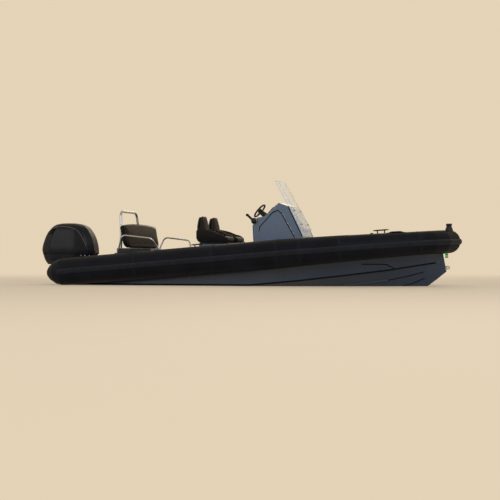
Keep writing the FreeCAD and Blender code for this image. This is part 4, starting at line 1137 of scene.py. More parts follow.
    def _handles(self) -> None:
        """Fits the moulded grab handles on top of the bow tubes."""
        grips, pads = [], []
        for side in SIDES:
            path = [self.on_skin(self.handle + (share - 0.5) * self.handle_long, side, self.handle_deg,
                                 0.006 + 0.006 * ends_eased(share, 5)) for share in spread(0, 1, 25)]
            grips.append(rope(path, lambda share: 0.0085 + 0.004 * ends_eased(share, 4), 12))
            for end in (-self.patch_off, self.patch_off):
                rings = [[self.on_skin(self.handle + end + wide * a, side,
                                       self.handle_deg + math.degrees(wide * b / self.patch_tube), rise)
                          for a, b in circle(24)]
                         for wide, rise in self.patch]
                pads.append(skin(rings))
        self.add("bow_grab_handles", grips, Palette.CONE)
        self.add("handle_patches", pads, Palette.TAPE)

    def _tread_patches(self) -> None:
        """Lays the ribbed step patches on top of the side tubes."""
        parts = [self._sheet(side, [[(along, row + turn, rise) for along in spread(start, end, 26)]
                                    for turn, rise in self.tread])
                 for side in SIDES for start, end in self.treads for row in spread(*self.tread_deg, 9)]
        self.add("tread_strips", parts, Palette.STRAKE)


@dataclass
class HelmSeat(Upholstery):
    """One helm seat: a moulded shell with a back pad, a cushion and two side bolsters."""

    STUFFING = Stuffing(voxel=0.008, cap=0.010, fill=0.8)

    name: str
    centre_y: float
    half: float = 0.249
    pad_half: float = 0.185
    bolster_in: float = 0.037
    welt: float = 0.0035
    # Back rows: height, front x, rear x, half-width
    back_rows: tuple = ((0.868, -0.700, -0.862, 0.186), (0.93, -0.715, -0.880, 0.190),
                        (1.0, -0.730, -0.893, 0.192), (1.08, -0.746, -0.898, 0.186),
                        (1.16, -0.763, -0.893, 0.172), (1.225, -0.779, -0.884, 0.154),
                        (1.262, -0.790, -0.874, 0.136), (1.280, -0.801, -0.863, 0.108),
                        (1.287, -0.815, -0.850, 0.066))
    back_seams: tuple = (0.985, 1.095, 1.19)
    seam_half: float = 0.007
    seam_arch: float = 0.03
    # Cushion rows: x, top height, bottom height
    cushion_rows: tuple = ((-0.706, 0.892, 0.800), (-0.64, 0.893, 0.796), (-0.55, 0.896, 0.794),
                           (-0.46, 0.902, 0.792), (-0.38, 0.910, 0.792), (-0.322, 0.908, 0.794),
                           (-0.290, 0.892, 0.804), (-0.279, 0.868, 0.824))
    # Cushion seams: x, height of the stitches
    cushion_seams: tuple = ((-0.41, 0.905), (-0.565, 0.899))
    stitches: int = 40
    stitch_reach: float = 0.172
    thread: float = 0.0009
    # Bolster rows: x, top height, bottom height, half-thickness
    side_rows: tuple = ((-0.885, 1.020, 0.870, 0.022), (-0.85, 1.052, 0.815, 0.031),
                        (-0.78, 1.064, 0.786, 0.035), (-0.66, 1.043, 0.784, 0.035),
                        (-0.55, 1.012, 0.784, 0.035), (-0.46, 0.974, 0.784, 0.034),
                        (-0.360, 0.946, 0.786, 0.030), (-0.292, 0.895, 0.792, 0.020))
    # Shell's base: height, how far its edge is drawn in
    base_rows: tuple = ((0.7705, 0.02), (0.774, 0.006), (0.788, 0), (0.796, 0.004), (0.797, 0.02))

    def build(self) -> None:
        """Builds the seat."""
        self._back()
        self._cushion()
        for side in SIDES:
            self._bolster(side)
        self._shell()
        self._piping()
        self._stitches()

    def _spot(self, x: float, y: float, z: float) -> Vector:
        """Places a point of the seat."""
        return Vector((x, self.centre_y + y, z))

    def _back(self) -> None:
        """Shapes the back pad, with three sewn channels across its front."""
        rings = []
        for height in spread(self.back_rows[0][0], self.back_rows[-1][0], 60):
            front, rear, half = between(self.back_rows, height)
            front, rear = front - 0.006, rear + 0.028
            rings.append(rounded_ring(self._spot((front + rear) / 2, 0, height), Vector((0, half - 0.006, 0)),
                                      Vector(((front - rear) / 2, 0, 0)), 3.2, 56))

        def held(spot: Vector) -> float:
            """Says how firmly a point is sewn down.

            Args:
                spot: The point.

            Returns:
                From 0 to 1.
            """
            arch = self.seam_arch * ((spot.y - self.centre_y) / 0.19) ** 2
            near = min(abs(spot.z - height + arch) for height in self.back_seams)
            front, rear, _ = between(self.back_rows, spot.z)
            edge = abs(spot.x - (front + rear) / 2 - 0.01)
            return 1.0 if near < self.seam_half and spot.x > -0.84 else (0.75 if edge < 0.01 else 0.0)

        pad = self.add_pad(f"{self.name}_back", rings, Palette.VINYL_FACE, held)
        two_tone(pad, Palette.VINYL, lambda spot: spot.x < between(self.back_rows, spot.z)[0] - 0.05)

    def _cushion(self) -> None:
        """Shapes the seat cushion, with a rolled front edge."""
        rings = []
        for x in spread(self.cushion_rows[0][0], self.cushion_rows[-1][0], 54):
            top, low = between(self.cushion_rows, x)
            wide = (self.pad_half - 0.004 + 0.055 * smoothstep((x + 0.37) / 0.05)
                    - 0.05 * smoothstep((x + 0.31) / 0.04))
            rings.append(rounded_ring(self._spot(x, 0, (top + low) / 2), Vector((0, wide, 0)),
                                      Vector((0, 0, (top - low) / 2)), 4.5, 56))

        def held(spot: Vector) -> float:
            """Says how firmly a point is sewn down."""
            seam = min(abs(spot.x - x) for x, _ in self.cushion_seams) < 0.006 and spot.z > 0.85
            return 1.0 if seam or spot.z < 0.81 else 0.0

        self.add_pad(f"{self.name}_cushion", rings, Palette.VINYL, held)

    def _bolster(self, side: int) -> None:
        """Shapes one side bolster.

        Args:
            side: -1 for the seat's starboard side, 1 for its port side.
        """
        rings = []
        for x in spread(self.side_rows[0][0], self.side_rows[-1][0], 46):
            top, low, half = between(self.side_rows, x)
            middle = self._spot(x, side * (self.half - self.bolster_in), (top + low) / 2 - 0.003)
            rings.append(rounded_ring(middle, Vector((0, half, 0)), Vector((0, 0, (top - low) / 2 - 0.003)),
                                      3.6, 44))

        def held(spot: Vector) -> float:
            """Says how firmly a point is sewn down."""
            top = between(self.side_rows, spot.x)[0]
            return 1.0 if spot.z < 0.80 or abs(spot.z - top + 0.045) < 0.005 else 0.0

        tag = "inner" if side * self.centre_y < 0 else "outer"
        self.add_pad(f"{self.name}_bolster_{tag}", rings, Palette.VINYL, held)

    def _shell(self) -> None:
        """Shapes the moulded shell behind and under the pads."""
        rings = []
        for height in spread(0.775, 1.27, 40):
            _, rear, half = between(self.back_rows, max(height, 0.868))
            flare = 0.05 * smoothstep((1.02 - height) / 0.16)
            rear += 0.56 * max(0.868 - height, 0) - 0.006
            # The outer face runs one way and the inner face back
            ring = []
            for way, shift, deep, grown in ((1, 0.045, 0.045, 0.004), (-1, 0.052, 0.034, -0.008)):
                for turn in spread(-way * math.pi / 2, way * math.pi / 2, 24):
                    ring.append(self._spot(rear + shift - deep * math.cos(turn) ** 0.6,
                                           (half + flare + grown) * math.sin(turn), height))
            rings.append(ring)
        base = [rounded_ring(self._spot(-0.565, 0, z), Vector((0, 0.235 - inset, 0)),
                             Vector((0.28 - inset, 0, 0)), 7, 64) for z, inset in self.base_rows]
        self.add(f"{self.name}_shell", [skin(rings), skin(base)], Palette.MOULDING, stands_for=self.name)

    def _piping(self) -> None:
        """Runs a welt along each bolster and round the back pad."""
        parts = []
        for side in SIDES:
            path = []
            for x in spread(-0.87, -0.30, 60):
                top, _, half = between(self.side_rows, x)
                path.append(self._spot(x, side * (self.half - self.bolster_in + half * 0.93), top - 0.034))
            parts.append(rope(path, self.welt))
        loop = []
        for height in spread(0.90, 1.283, 50):
            front, rear, half = between(self.back_rows, height)
            loop.append(((front + rear) / 2 + 0.02, half + 0.001, height))
        loop += [(x, -y, z) for x, y, z in reversed(loop)]
        parts.append(rope([self._spot(*spot) for spot in loop], self.welt))
        self.add(f"{self.name}_piping", parts, Palette.GRIP)

    def _stitches(self) -> None:
        """Sews the seams of the cushion with visible stitches."""
        parts = []
        for x, z in self.cushion_seams:
            for y in spread(-self.stitch_reach, self.stitch_reach, self.stitches):
                start = self._spot(x - 0.004, y - 0.0028, z)
                parts.append(rope([start, start + Vector((0, 0.003, 0.0012)), start + Vector((0, 0.0058, 0))],
                                  self.thread, 6))
        self.add(f"{self.name}_stitches", parts, Palette.THREAD)


@dataclass
class Bench(Upholstery):
    """The aft bench's cushion and its leaning backrest."""

    STUFFING = Stuffing(voxel=0.011, cap=0.014, fill=0.75)

    half: float = 0.707
    back_half: float = 0.75
    low_z: float = 0.6953
    top_z: float = 1.16
    low_x: float = -2.15
    top_x: float = -2.24
    thick: float = 0.132
    middle_x: float = -1.92
    middle_z: float = 0.6085
    seam_y: float = 0.237
    seam_half: float = 0.007
    sewn_z: float = 0.765
    welt_z: float = 0.636
    welt_behind: float = 0.018
    back_welt: float = 0.0045
    cushion_welt: float = 0.004

    def build(self) -> None:
        """Builds the bench's soft pieces."""
        self._cushion()
        self._back()
        self._welts()

    def lean(self, height: float) -> float:
        """Gives the backrest's front face at a height."""
        share = (height - self.low_z) / (self.top_z - self.low_z)
        return self.low_x + share * (self.top_x - self.low_x)

    def outline(self, inset: float, steps: int = 14) -> list[tuple[float, float]]:
        """Lists the backrest's front outline.

        Args:
            inset: How far inside the real outline it runs.
            steps: Points a corner.

        Returns:
            Points as breadth and height.
        """
        half, low, top = self.back_half - inset, self.low_z + inset, self.top_z - inset
        corners = ((-90, half, low, 0.12), (0, half, top - 0.03, 0.045), (90, -half, top - 0.03, 0.045),
                   (180, -half, low, 0.12))
        points = []
        for start, y, z, radius in corners:
            side, rise = math.copysign(1, y), (1 if start in (0, 90) else -1)
            for step in range(steps):
                turn = math.radians(start + 90 * step / (steps - 1))
                points.append((y - side * radius + radius * math.cos(turn),
                               z - rise * radius + radius * math.sin(turn)))
            if start == 0:
                points += [(y * share, top - 0.03 * abs(share) ** 2.2) for share in spread(0.85, -0.85, 24)]
            if start == 180:
                points += [(-y * share, low) for share in spread(-0.7, 0.7, 20)]
        return points

    def _back(self) -> None:
        """Shapes the backrest."""
        rings = []
        for share in spread(0, 1, 12):
            bulge = 0.022 * (1 - (abs(share - 0.5) * 2) ** 2.6)
            rings.append([Vector((self.lean(z) - 0.006 - share * (self.thick - 0.012), y, z))
                          for y, z in self.outline(0.028 - bulge)])
        front, rear = rings[0], rings[-1]
        for depth in (0.9, 0.7, 0.4, 0.1):
            rings.insert(0, self._inner(front, depth, 0.006, 0.006))
            rings.append(self._inner(rear, depth, -0.006, self.thick - 0.006))

        def held(spot: Vector) -> float:
            """Says how firmly a point is sewn down.

            Args:
                spot: The point.

            Returns:
                From 0 to 1.
            """
            behind = self.lean(spot.z) - spot.x
            lower = abs(spot.z - self.sewn_z) < self.seam_half and behind < 0.03
            rim = abs(spot.y) > 0.70 or spot.z > 1.11 or spot.z < 0.74
            welted = rim and abs(behind - self.welt_behind) < 0.006
            return 1.0 if lower or welted or behind > self.thick - 0.012 or spot.z < 0.712 else 0.0

        pad = self.add_pad("bench_backrest_pad", rings, Palette.VINYL_FACE, held, stands_for="bench_backrest")
        two_tone(pad, Palette.VINYL, lambda spot: self.lean(spot.z) - spot.x > self.welt_behind)

    def _inner(self, ring: list[Vector], depth: float, inward: float, behind: float) -> list[Vector]:
        """Draws a ring inside the outline of the backrest's front or rear face.

        Args:
            ring: The face's outline.
            depth: The inner ring's share of its size.
            inward: How far the face's middle stands proud of its edge.
            behind: How far the face is behind the backrest's front.

        Returns:
            The inner ring.
        """
        centre = sum(ring, Vector()) / len(ring)
        spots = [centre + (point - centre) * depth for point in ring]
        return [Vector((self.lean(spot.z) - behind + inward * (1 - depth**4), spot.y, spot.z))
                for spot in spots]

    def _cushion(self) -> None:
        """Shapes the bench cushion, sewn into three seats."""
        rings = []
        for y in spread(-self.half + 0.004, self.half - 0.004, 90):
            edge = smoothstep((self.half - abs(y)) / 0.03)
            rings.append(rounded_ring(Vector((self.middle_x, y, self.middle_z)),
                                      Vector((0.208 + 0.006 * edge, 0, 0)),
                                      Vector((0, 0, 0.030 + 0.0145 * edge)), 7, 64))

        def held(spot: Vector) -> float:
            """Says how firmly a point is sewn down.

            Args:
                spot: The point.

            Returns:
                From 0 to 1.
            """
            near = min(abs(spot.y - self.seam_y), abs(spot.y + self.seam_y))
            seam = near < self.seam_half and spot.z > 0.60
            welted = abs(spot.z - self.welt_z) < 0.005 and abs(spot.x - self.middle_x) > 0.19
            return 1.0 if seam or spot.z < 0.572 or welted else 0.0

        self.add_pad("bench_cushion_pad", rings, Palette.VINYL, held, body="bench_lid",
                     stands_for="bench_cushion")

    def _welts(self) -> None:
        """Runs the welts round the backrest's front edge and the cushion's top edge."""
        back = [Vector((self.lean(z) - self.welt_behind, y, z)) for y, z in self.outline(0.002)]
        top = [Vector((self.middle_x + x, y, self.welt_z))
               for x, y in rounded_outline(0.2145, self.half - 0.002, 0.03, 8)]
        self.add("bench_backrest_welt", [rope([*back, back[0]], self.back_welt)], Palette.GRIP)
        self.add("bench_cushion_welt", [rope([*top, top[0]], self.cushion_welt)], Palette.GRIP, "bench_lid")


@dataclass
class Cowl(Assembly):
    """The outboard's upper cowl and pan, with the crease line, seal, louvres and studs."""

    BODY = "outboard"
    SLOT = "cowl_plastic"

    # Levels: height, front, back, half-width
    rows: tuple = ((0.6003, -3.190, -4.330, 0.275), (0.675, -3.195, -4.345, 0.286),
                   (0.800, -3.215, -4.322, 0.281), (0.940, -3.262, -4.262, 0.266),
                   (1.060, -3.335, -4.188, 0.240), (1.130, -3.405, -4.122, 0.208),
                   (1.178, -3.525, -4.035, 0.165), (1.194, -3.610, -3.965, 0.120))
    pan_rows: tuple = ((0.385, -3.565, -4.235, 0.175), (0.470, -3.330, -4.285, 0.245),
                       (0.600, -3.190, -4.330, 0.275))
    # Rings that close the top: share of its size, rise
    crown: tuple = ((0.85, 0.0035), (0.6, 0.007), (0.3, 0.009), (0.05, 0.0095))
    # Outline: share of the length from the front, share of the half-width
    shares: tuple = ((0, 0.42), (0.1, 0.8), (0.3, 1), (0.78, 0.94), (0.95, 0.66), (1, 0.36))
    # Crease along the top and front edge, seen from the side
    crease: tuple = ((-4.27, 0.88), (-4.20, 1.00), (-4.10, 1.088), (-3.90, 1.134), (-3.66, 1.122),
                     (-3.50, 1.056), (-3.405, 0.94), (-3.335, 0.80), (-3.285, 0.66))
    pressed_deep: float = 0.009
    # Radii of the strip that paints the crease's highlight and of the seal
    edge: float = 0.0065
    seal: float = 0.0055
    # Louvres: height of the lowest, distance between them, rise along one, its ends' distances from the back
    louvres: int = 5
    louvre_z: float = 0.985
    louvre_step: float = 0.022
    louvre_rise: float = 0.012
    louvre_ends: tuple[float, float] = (0.10, 0.205)
    stud_z: float = 0.56
    studs_x: tuple = (-3.27, -3.34, -3.41)

    def __post_init__(self) -> None:
        """Smooths the outline's starboard half."""
        self.half_outline = softened(refined([(0.0, 0.0), *self.shares, (1.0, 0.0)], 16), 5)

    def build(self) -> None:
        """Builds the cowl and the pan."""
        self.add("cowl_shell", [skin(self._levels(self.rows, 96, True))], Palette.COWL, stands_for="cowl")
        self.add("cowl_pan", [skin(self._levels(self.pan_rows, 30, False))], Palette.COWL,
                 stands_for="lower_cowl")
        self._crease_line()
        self._seal()
        self._vents()
        self._studs()

    def outline(self, front: float, back: float, half: float, height: float) -> list[Vector]:
        """Draws one level as a closed smooth outline.

        Args:
            front: Its fore end.
            back: Its aft end.
            half: Its half-width.
            height: Its height.

        Returns:
            The outline's points.
        """
        long = front - back
        side = [Vector((front - share * long, -half * wide, height)) for share, wide in self.half_outline]
        return side + [Vector((spot.x, -spot.y, spot.z)) for spot in reversed(side[1:-1])]

    def _levels(self, rows: tuple, count: int, creased: bool) -> list[list[Vector]]:
        """Lists the levels of a cowl part, densely.

        Args:
            rows: The part's rows.
            count: How many levels it has.
            creased: Whether its sides are pressed in and its top is closed.

        Returns:
            The levels' rings.
        """
        rings = []
        for height in spread(rows[0][0], rows[-1][0], count):
            front, back, half = between(rows, height)
            ring = self.outline(front, back, half, height)
            rings.append([self._pressed(spot, half) for spot in ring] if creased else ring)
        top = rings[-1]
        centre = sum(top, Vector()) / len(top)
        if creased:
            rings += [[centre + (spot - centre) * depth + UP * rise for spot in top]
                      for depth, rise in self.crown]
        return rings

    def _pressed(self, spot: Vector, half: float) -> Vector:
        """Presses a point of the side panel in, where it is inside the crease.

        Args:
            spot: The point.
            half: The half-width at its level.

        Returns:
            The point in its new place.
        """
        side = smoothstep((abs(spot.y) - half * 0.45) / (half * 0.25))
        depth = self.pressed_deep * smoothstep(self.inside(spot.x, spot.z) / 0.012) * side
        return Vector((spot.x, spot.y - math.copysign(depth, spot.y), spot.z))

    def inside(self, x: float, z: float) -> float:
        """Gives how far a point is inside the crease, seen from the side.

        Args:
            x: Its place along the boat.
            z: Its height.

        Returns:
            The distance, below 0 outside it.
        """
        gaps = []
        for (x_one, z_one), (x_two, z_two) in zip(self.crease, self.crease[1:]):
            run, rise = x_two - x_one, z_two - z_one
            share = min(max(((x - x_one) * run + (z - z_one) * rise) / (run * run + rise * rise), 0), 1)
            gap = math.hypot(x - x_one - share * run, z - z_one - share * rise)
            gaps.append((gap, 1 if run * (z - z_one) - rise * (x - x_one) < 0 else -1))
        gap, sign = min(gaps, key=lambda found: found[0])
        return gap * sign

    def _width(self, rows: tuple, x: float, z: float) -> tuple[float, float]:
        """Gives a level's half-width, and the share of it at a place along a cowl part with such rows."""
        front, back, half = between(rows, z)
        return half, between(self.shares, min(max((front - x) / (front - back), 0.001), 0.999))[0]

    def on_side(self, x: float, z: float, side: int, lift: float = 0) -> Vector:
        """Finds a point at a place along the cowl's side and a height, lifted off it."""
        half, wide = self._width(self.rows, x, z)
        return self._pressed(Vector((x, side * half * wide, z)), half) + Vector((0, side * lift, 0))

    def _crease_line(self) -> None:
        """Lays the lighter, glossier strip along the crease, a painted highlight on its edge."""
        line = softened(refined(self.crease, 6), 4)
        parts = [rope([self.on_side(x, z, side, -0.001) for x, z in line],
                      lambda share: self.edge * (0.35 + 0.65 * ends_eased(share, 6)), 10) for side in SIDES]
        self.add("cowl_crease_highlight", parts, Palette.COWL_EDGE)

    def _seal(self) -> None:
        """Runs the rubber seal between the cowl and its pan."""
        front, back, half = self.rows[0][1:]
        loop = self.outline(front + 0.001, back - 0.001, half + 0.001, 0.6)
        self.add("cowl_seal", [rope([*loop, loop[0]], self.seal)], Palette.GASKET)

    def _vents(self) -> None:
        """Cuts the look of the air intake's louvres at the top aft corner."""
        parts = []
        for side in SIDES:
            for z in (self.louvre_z + number * self.louvre_step for number in range(self.louvres)):
                back = between(self.rows, z)[1]
                start, end = (back + reach for reach in self.louvre_ends)
                path = [self.on_side(x, z + self.louvre_rise * share, side)
                        for share, x in zip(spread(0, 1, 12), spread(start, end, 12))]
                parts.append(rope(path, lambda share: 0.0045 * ends_eased(share, 6) + 0.0008))
        self.add("cowl_louvres", parts, Palette.GASKET)

    def _studs(self) -> None:
        """Fits the studs along the pan's front."""
        parts = []
        for side in SIDES:
            for x in self.studs_x:
                half, wide = self._width(self.pan_rows, x, self.stud_z)
                foot = Vector((x, side * (half * wide - 0.001), self.stud_z))
                parts.append(pan_head(foot, Vector((0.25, side, 0)), 0.011, 0.006))
        self.add("pan_studs", parts, Palette.STEEL)


@dataclass
class HullTrim(Assembly):
    """The dark strips that paint the shade at the hull's chines, spray rails and knuckles, the side lights'
    rims, and the drains and screws of its transom.
    """

    # Chine: place along the hull, height, half-breadth
    chine: tuple = ((-3.25, 0, 0.96), (0.3, 0, 0.96), (1.2, 0.083, 0.92), (2.0, 0.177, 0.78),
                    (2.7, 0.266, 0.55), (3.1, 0.333, 0.345), (3.37, 0.379, 0.20), (3.52, 0.402, 0.085))
    # Knuckle from under the collar down to the chine: place along the hull, height
    knuckle: tuple = ((2.30, 0.393), (2.45, 0.392), (2.66, 0.390), (2.72, 0.380), (2.77, 0.354),
                      (2.86, 0.300))
    rail_shares: tuple[float, float] = (0.4, 0.7)
    # Width and height of the dark strips that paint the shade
    chine_shade_strip: tuple[float, float] = (0.030, 0.004)
    knuckle_shade_strip: tuple[float, float] = (0.018, 0.003)
    rail_shade_strip: tuple[float, float] = (0.020, 0.003)
    abreast: float = 1.6
    # Side lights: place along the boat, place across it, heights of the rims
    lamp_x: float = 3.6798
    lamp_y: float = 0.026
    rim_heights: tuple[float, float] = (0.5075, 0.560)
    # Fittings of the transom: place across the boat, height; and a stern eye's screws, from its middle
    transom_x: float = -3.3103
    drain_at: tuple[float, float] = (0.5, 0.20)
    plug_at: tuple[float, float] = (-0.36, -0.02)
    eye_at: tuple[float, float] = (0.62, 0.13)
    eye_screws: tuple[float, float] = (0.032, 0.037)
    # Profiles: radius, height
    rim: tuple = ((0.010, -0.001), (0.0232, 0), (0.0232, 0.010), (0.0222, 0.012), (0.010, 0.0122))
    flap: tuple = ((0.044, -0.001), (0.044, 0.003), (0.040, 0.006), (0.032, 0.007), (0.031, 0.003),
                   (0.028, 0.003), (0.012, 0.0045))
    plug: tuple = ((0.026, -0.001), (0.026, 0.004), (0.018, 0.005), (0.014, 0.012), (0.004, 0.0135))

    def build(self) -> None:
        """Builds the hull's trim."""
        self._strips()
        self._lamp_rims()
        self._drains()
        self._screws()

    def _strips(self) -> None:
        """Lays a dark strip of painted shade just above each chine, under each spray rail and along each
        knuckle.
        """
        hull = Surface(self.nodes["hull"])
        chines, rails, knuckles = [], [], []
        for side in SIDES:
            inward, y = Vector((0, -side, 0)), side * self.abreast
            above = [Vector((x, y, straight(self.chine, x)[0] + 0.018)) for x in spread(-3.24, 3.5, 170)]
            chines.append(ribbon(hull.trail(above, inward), *self.chine_shade_strip))
            fold = [Vector((x, y, between(self.knuckle, x)[0]))
                    for x in spread(self.knuckle[0][0], self.knuckle[-1][0], 50)]
            knuckles.append(ribbon(hull.trail(fold, inward), *self.knuckle_shade_strip))
            for share in self.rail_shares:
                under = [Vector((x, side * straight(self.chine, x)[1] * (share * 0.953 + 0.02), -1.4))
                         for x in spread(-3.2, 3.3, 150)]
                rails.append(ribbon(hull.trail(under, UP), *self.rail_shade_strip))
        # The near-black strips paint the shade under the chines, spray rails and knuckles
        self.add("chine_shade_strips", chines, Palette.GASKET)
        self.add("spray_rail_shade_strips", rails, Palette.GASKET)
        self.add("hull_knuckle_shade_strips", knuckles, Palette.GASKET)

    def _lamp_rims(self) -> None:
        """Puts a dark rim at the foot and the head of each side light."""
        parts = [turned(Vector((self.lamp_x, side * self.lamp_y, height)), UP, self.rim)
                 for side in SIDES for height in self.rim_heights]
        self.add("side_light_rims", parts, Palette.MOULDING)

    def _drains(self) -> None:
        """Fits the deck drains' flaps and the drain plug on the transom."""
        parts = []
        for side in SIDES:
            foot = Vector((self.transom_x, side * self.drain_at[0], self.drain_at[1]))
            parts.append(turned(foot, AFT, self.flap))
            parts += [pan_head(foot + Vector((-0.006, 0.037 * math.cos(turn), 0.037 * math.sin(turn))), AFT,
                               0.0035, 0.002) for turn in SCREW_TURNS]
        parts.append(turned(Vector((self.transom_x, *self.plug_at)), AFT, self.plug))
        self.add("transom_drains", parts, Palette.STEEL)

    def _screws(self) -> None:
        """Puts the screws round the stern eyes' plates."""
        (eye_y, eye_z), (off_y, off_z) = self.eye_at, self.eye_screws
        parts = [pan_head(Vector((self.transom_x - 0.008, side * eye_y + y, eye_z + z)), AFT, 0.0065, 0.003)
                 for side in SIDES for z in (-off_z, off_z) for y in (-off_y, off_y)]
        self.add("stern_eye_screws", parts, Palette.STEEL)


@dataclass
class Face:
    """A flat face of the console that leans, seen from the side."""

    low: tuple[float, float]
    high: tuple[float, float]
    lift: float = 0

    def __post_init__(self) -> None:
        """Works out the ways along the face and out of it."""
        self.along = Vector((self.high[0] - self.low[0], 0, self.high[1] - self.low[1])).normalized()
        self.out = Vector((-self.along.z, 0, self.along.x))

    def spot(self, up: float, y: float, lift: float = 0) -> Vector:
        """Finds a point over the face, from its first edge."""
        return Vector((self.low[0], y, self.low[1])) + self.along * up + self.out * (self.lift + lift)

    def panel(self, middle: tuple[float, float, float], outline: Rows, thick: float, edge: float,
              crown: float = 0) -> Shape:
        """Lays a plate on the face, its middle given as distance along, place across and lift."""
        up, y, lift = middle
        return plate([self.spot(up + b, y + a, lift) for a, b in outline], self.out, thick, edge, crown)


@dataclass
class ConsoleTrim(Assembly):
    """The console's groove inlays of painted shade and beads of painted highlight, dark front strips,
    instruments, door, and windscreen edges with a pale painted highlight.
    """

    half: float = 0.39
    nose: tuple[float, float] = (1.136, 0.883)
    brow: tuple[float, float] = (0.860, 1.452)
    dash: Face = field(default_factory=lambda: Face((0.402, 1.274), (0.673, 1.519), 0.0143))
    aft: Face = field(default_factory=lambda: Face((0.212, 0.2), (0.181, 0.839)))
    # Groove: the middle of its floor, seen from the side, and its outer edge
    groove: tuple = ((0.301, 1.000), (0.311, 1.081), (0.5605, 1.339), (0.658, 1.381), (0.734, 1.323),
                     (0.999, 0.8445))
    groove_edge: tuple = ((0.290, 1.000), (0.300, 1.085), (0.555, 1.350), (0.660, 1.392), (0.745, 1.330),
                          (1.010, 0.850))
    groove_deep: float = 0.012
    # Width and height of the groove's inlay of painted shade, radii of its bead of painted highlight and of
    # the dark front strips
    shade_inlay: tuple[float, float] = (0.019, 0.003)
    highlight_bead: float = 0.0022
    gasket: float = 0.008
    # Displays: place across the boat, half-width, half-height
    displays: tuple = ((0.13, 0.138, 0.085), (-0.245, 0.05, 0.05))
    gauges: tuple = ((-0.065, 0.215), (-0.155, 0.215), (-0.065, 0.12))
    switches: int = 6
    # Profiles: radius, height
    gauge_rim: tuple = ((0.034, 0), (0.034, 0.006), (0.031, 0.010), (0.029, 0.010), (0.028, 0.006))
    gauge_glass: tuple = ((0.0285, 0.001), (0.0285, 0.0072), (0.012, 0.0078), (0.001, 0.008))
    latch: tuple = ((0.024, 0), (0.024, 0.003), (0.019, 0.005), (0.018, 0.002), (0.004, 0.002))
    cap: tuple = ((0.021, SUNK), (0.021, 0.004), (0.017, 0.008), (0.008, 0.0095), (0.001, 0.0097))
    # Door: distance of its middle up the aft face, half-width, half-height
    door: tuple[float, float, float] = (0.33, 0.25, 0.22)
    # Its latch and hinges: distances up the aft face, places across the boat
    latch_at: tuple[float, float] = (0.36, -0.205)
    hinges_up: tuple[float, float] = (0.2, 0.46)
    hinge_y: float = 0.255
    # Windscreen's lower and upper edge: place along the boat, height, half-width; and the radius of its edge
    screen: tuple = ((1.1305, 1.030, 0.345), (0.6235, 1.930, 0.300))
    screen_edge: float = 0.0042
    # Windscreen's caps: shares of the way from the nose to the brow, place across
    cap_shares: tuple[float, float] = (0.4, 0.86)
    cap_y: float = 0.222

    def build(self) -> None:
        """Builds the console's trim."""
        # The clear sheet throws no shadow on the panel behind it
        self.nodes["windscreen"].visible_shadow = False
        self._sides()
        self._front_panel()
        self._instruments()
        self._door()
        self._screen_edge()
        self._screen_caps()

    def _run(self, line: Rows, y: float) -> list[Vector]:
        """Lists points along a line seen from the side."""
        return [Vector((x, y, z)) for x, z in refined(line, 14)]

    def _on_front(self, share: float, y: float = 0) -> Vector:
        """Finds a point on the console's front, by its share of the way from the nose to the brow."""
        nose, brow = (Vector((x, 0, z)) for x, z in (self.nose, self.brow))
        return nose.lerp(brow, share) + Vector((0, y, 0))

    def _sides(self) -> None:
        """Lays a dark inlay that paints the shade in each side's groove, a steel bead that paints the
        highlight on the groove's edge, and a dark strip along each front edge.
        """
        front = [(spot.x, spot.z) for spot in map(self._on_front, (0.97, 0.5, 0.04))]
        shade_inlays, highlight_beads, front_strips = [], [], []
        for side in SIDES:
            out = Vector((0, side, 0))
            floor = self._run(self.groove, side * (self.half - self.groove_deep))
            # Dark inlay: painted shade in the groove's floor
            shade_inlays.append(ribbon([(spot, out) for spot in floor], *self.shade_inlay))
            # Steel bead: painted highlight along the groove's edge
            highlight_beads.append(rope(self._run(self.groove_edge, side * self.half), self.highlight_bead))
            # Dark strip along each edge where the side meets the front
            front_strips.append(rope(self._run(front, side * (self.half - 0.009)), self.gasket, 10))
        self.add("console_groove_shade_inlays", shade_inlays, Palette.GASKET)
        self.add("console_groove_highlight_beads", highlight_beads, Palette.STEEL)
        self.add("console_front_dark_strips", front_strips, Palette.GASKET)

    def _front_panel(self) -> None:
        """Lays the pale panel on the console's front, between its dark front strips; its pale tone paints the
        glare on the windscreen's lower half.
        """
        wide = self.half - 0.02
        corners = [self._on_front(share, y)
                   for share, y in ((0.03, -wide), (0.03, wide), (0.97, wide), (0.97, -wide))]
        self.add("console_front_panel", [plate(corners, Face(self.brow, self.nose).out, 0.003, 0.0015)],
                 Palette.FRONT)

    def _instruments(self) -> None:
        """Fits the displays, the gauges and the row of switches."""
        dash = self.dash
        frames, glasses, rims, marks = [], [], [], []
        for middle, half_y, half_up in self.displays:
            frames.append(dash.panel((0.182, middle, 0), rounded_outline(half_y, half_up, 0.012),
                                     0.013, 0.004))
            glasses.append(dash.panel((0.184, middle, 0.0128),
                                      rounded_outline(half_y - 0.013, half_up - 0.014, 0.005), 0.0016, 0.001))
            marks += [dash.panel((0.189 - half_up, middle + step * 0.02, 0.0128),
                                 rounded_outline(0.006, 0.0022, 0.0015), 0.001, 0.0004)
                      for step in (-1, 0, 1)]
        for y, up in self.gauges:
            rims.append(turned(dash.spot(up, y), dash.out, self.gauge_rim))
            glasses.append(turned(dash.spot(up, y), dash.out, self.gauge_glass))
            marks += [turned(dash.spot(up + 0.020 * math.cos(turn), y - 0.020 * math.sin(turn), 0.0078),
                             dash.out, ((0.0012, 0), (0.001, 0.0008)), 8) for turn in spread(-2.3, 2.3, 9)]
        keys = [dash.panel((0.108, -0.125 - 0.032 * number, 0), rounded_outline(0.012, 0.021, 0.003),
                           0.007, 0.002, 0.0015) for number in range(self.switches)]
        self.add("dash_bezels", frames, Palette.MOULDING)
        self.add("dash_glasses", glasses, Palette.GLASS)
        self.add("gauge_rims", rims, Palette.STEEL)
        self.add("dash_switches", keys, Palette.MOULDING)
        self.add("dash_marks", marks, Palette.PALE)

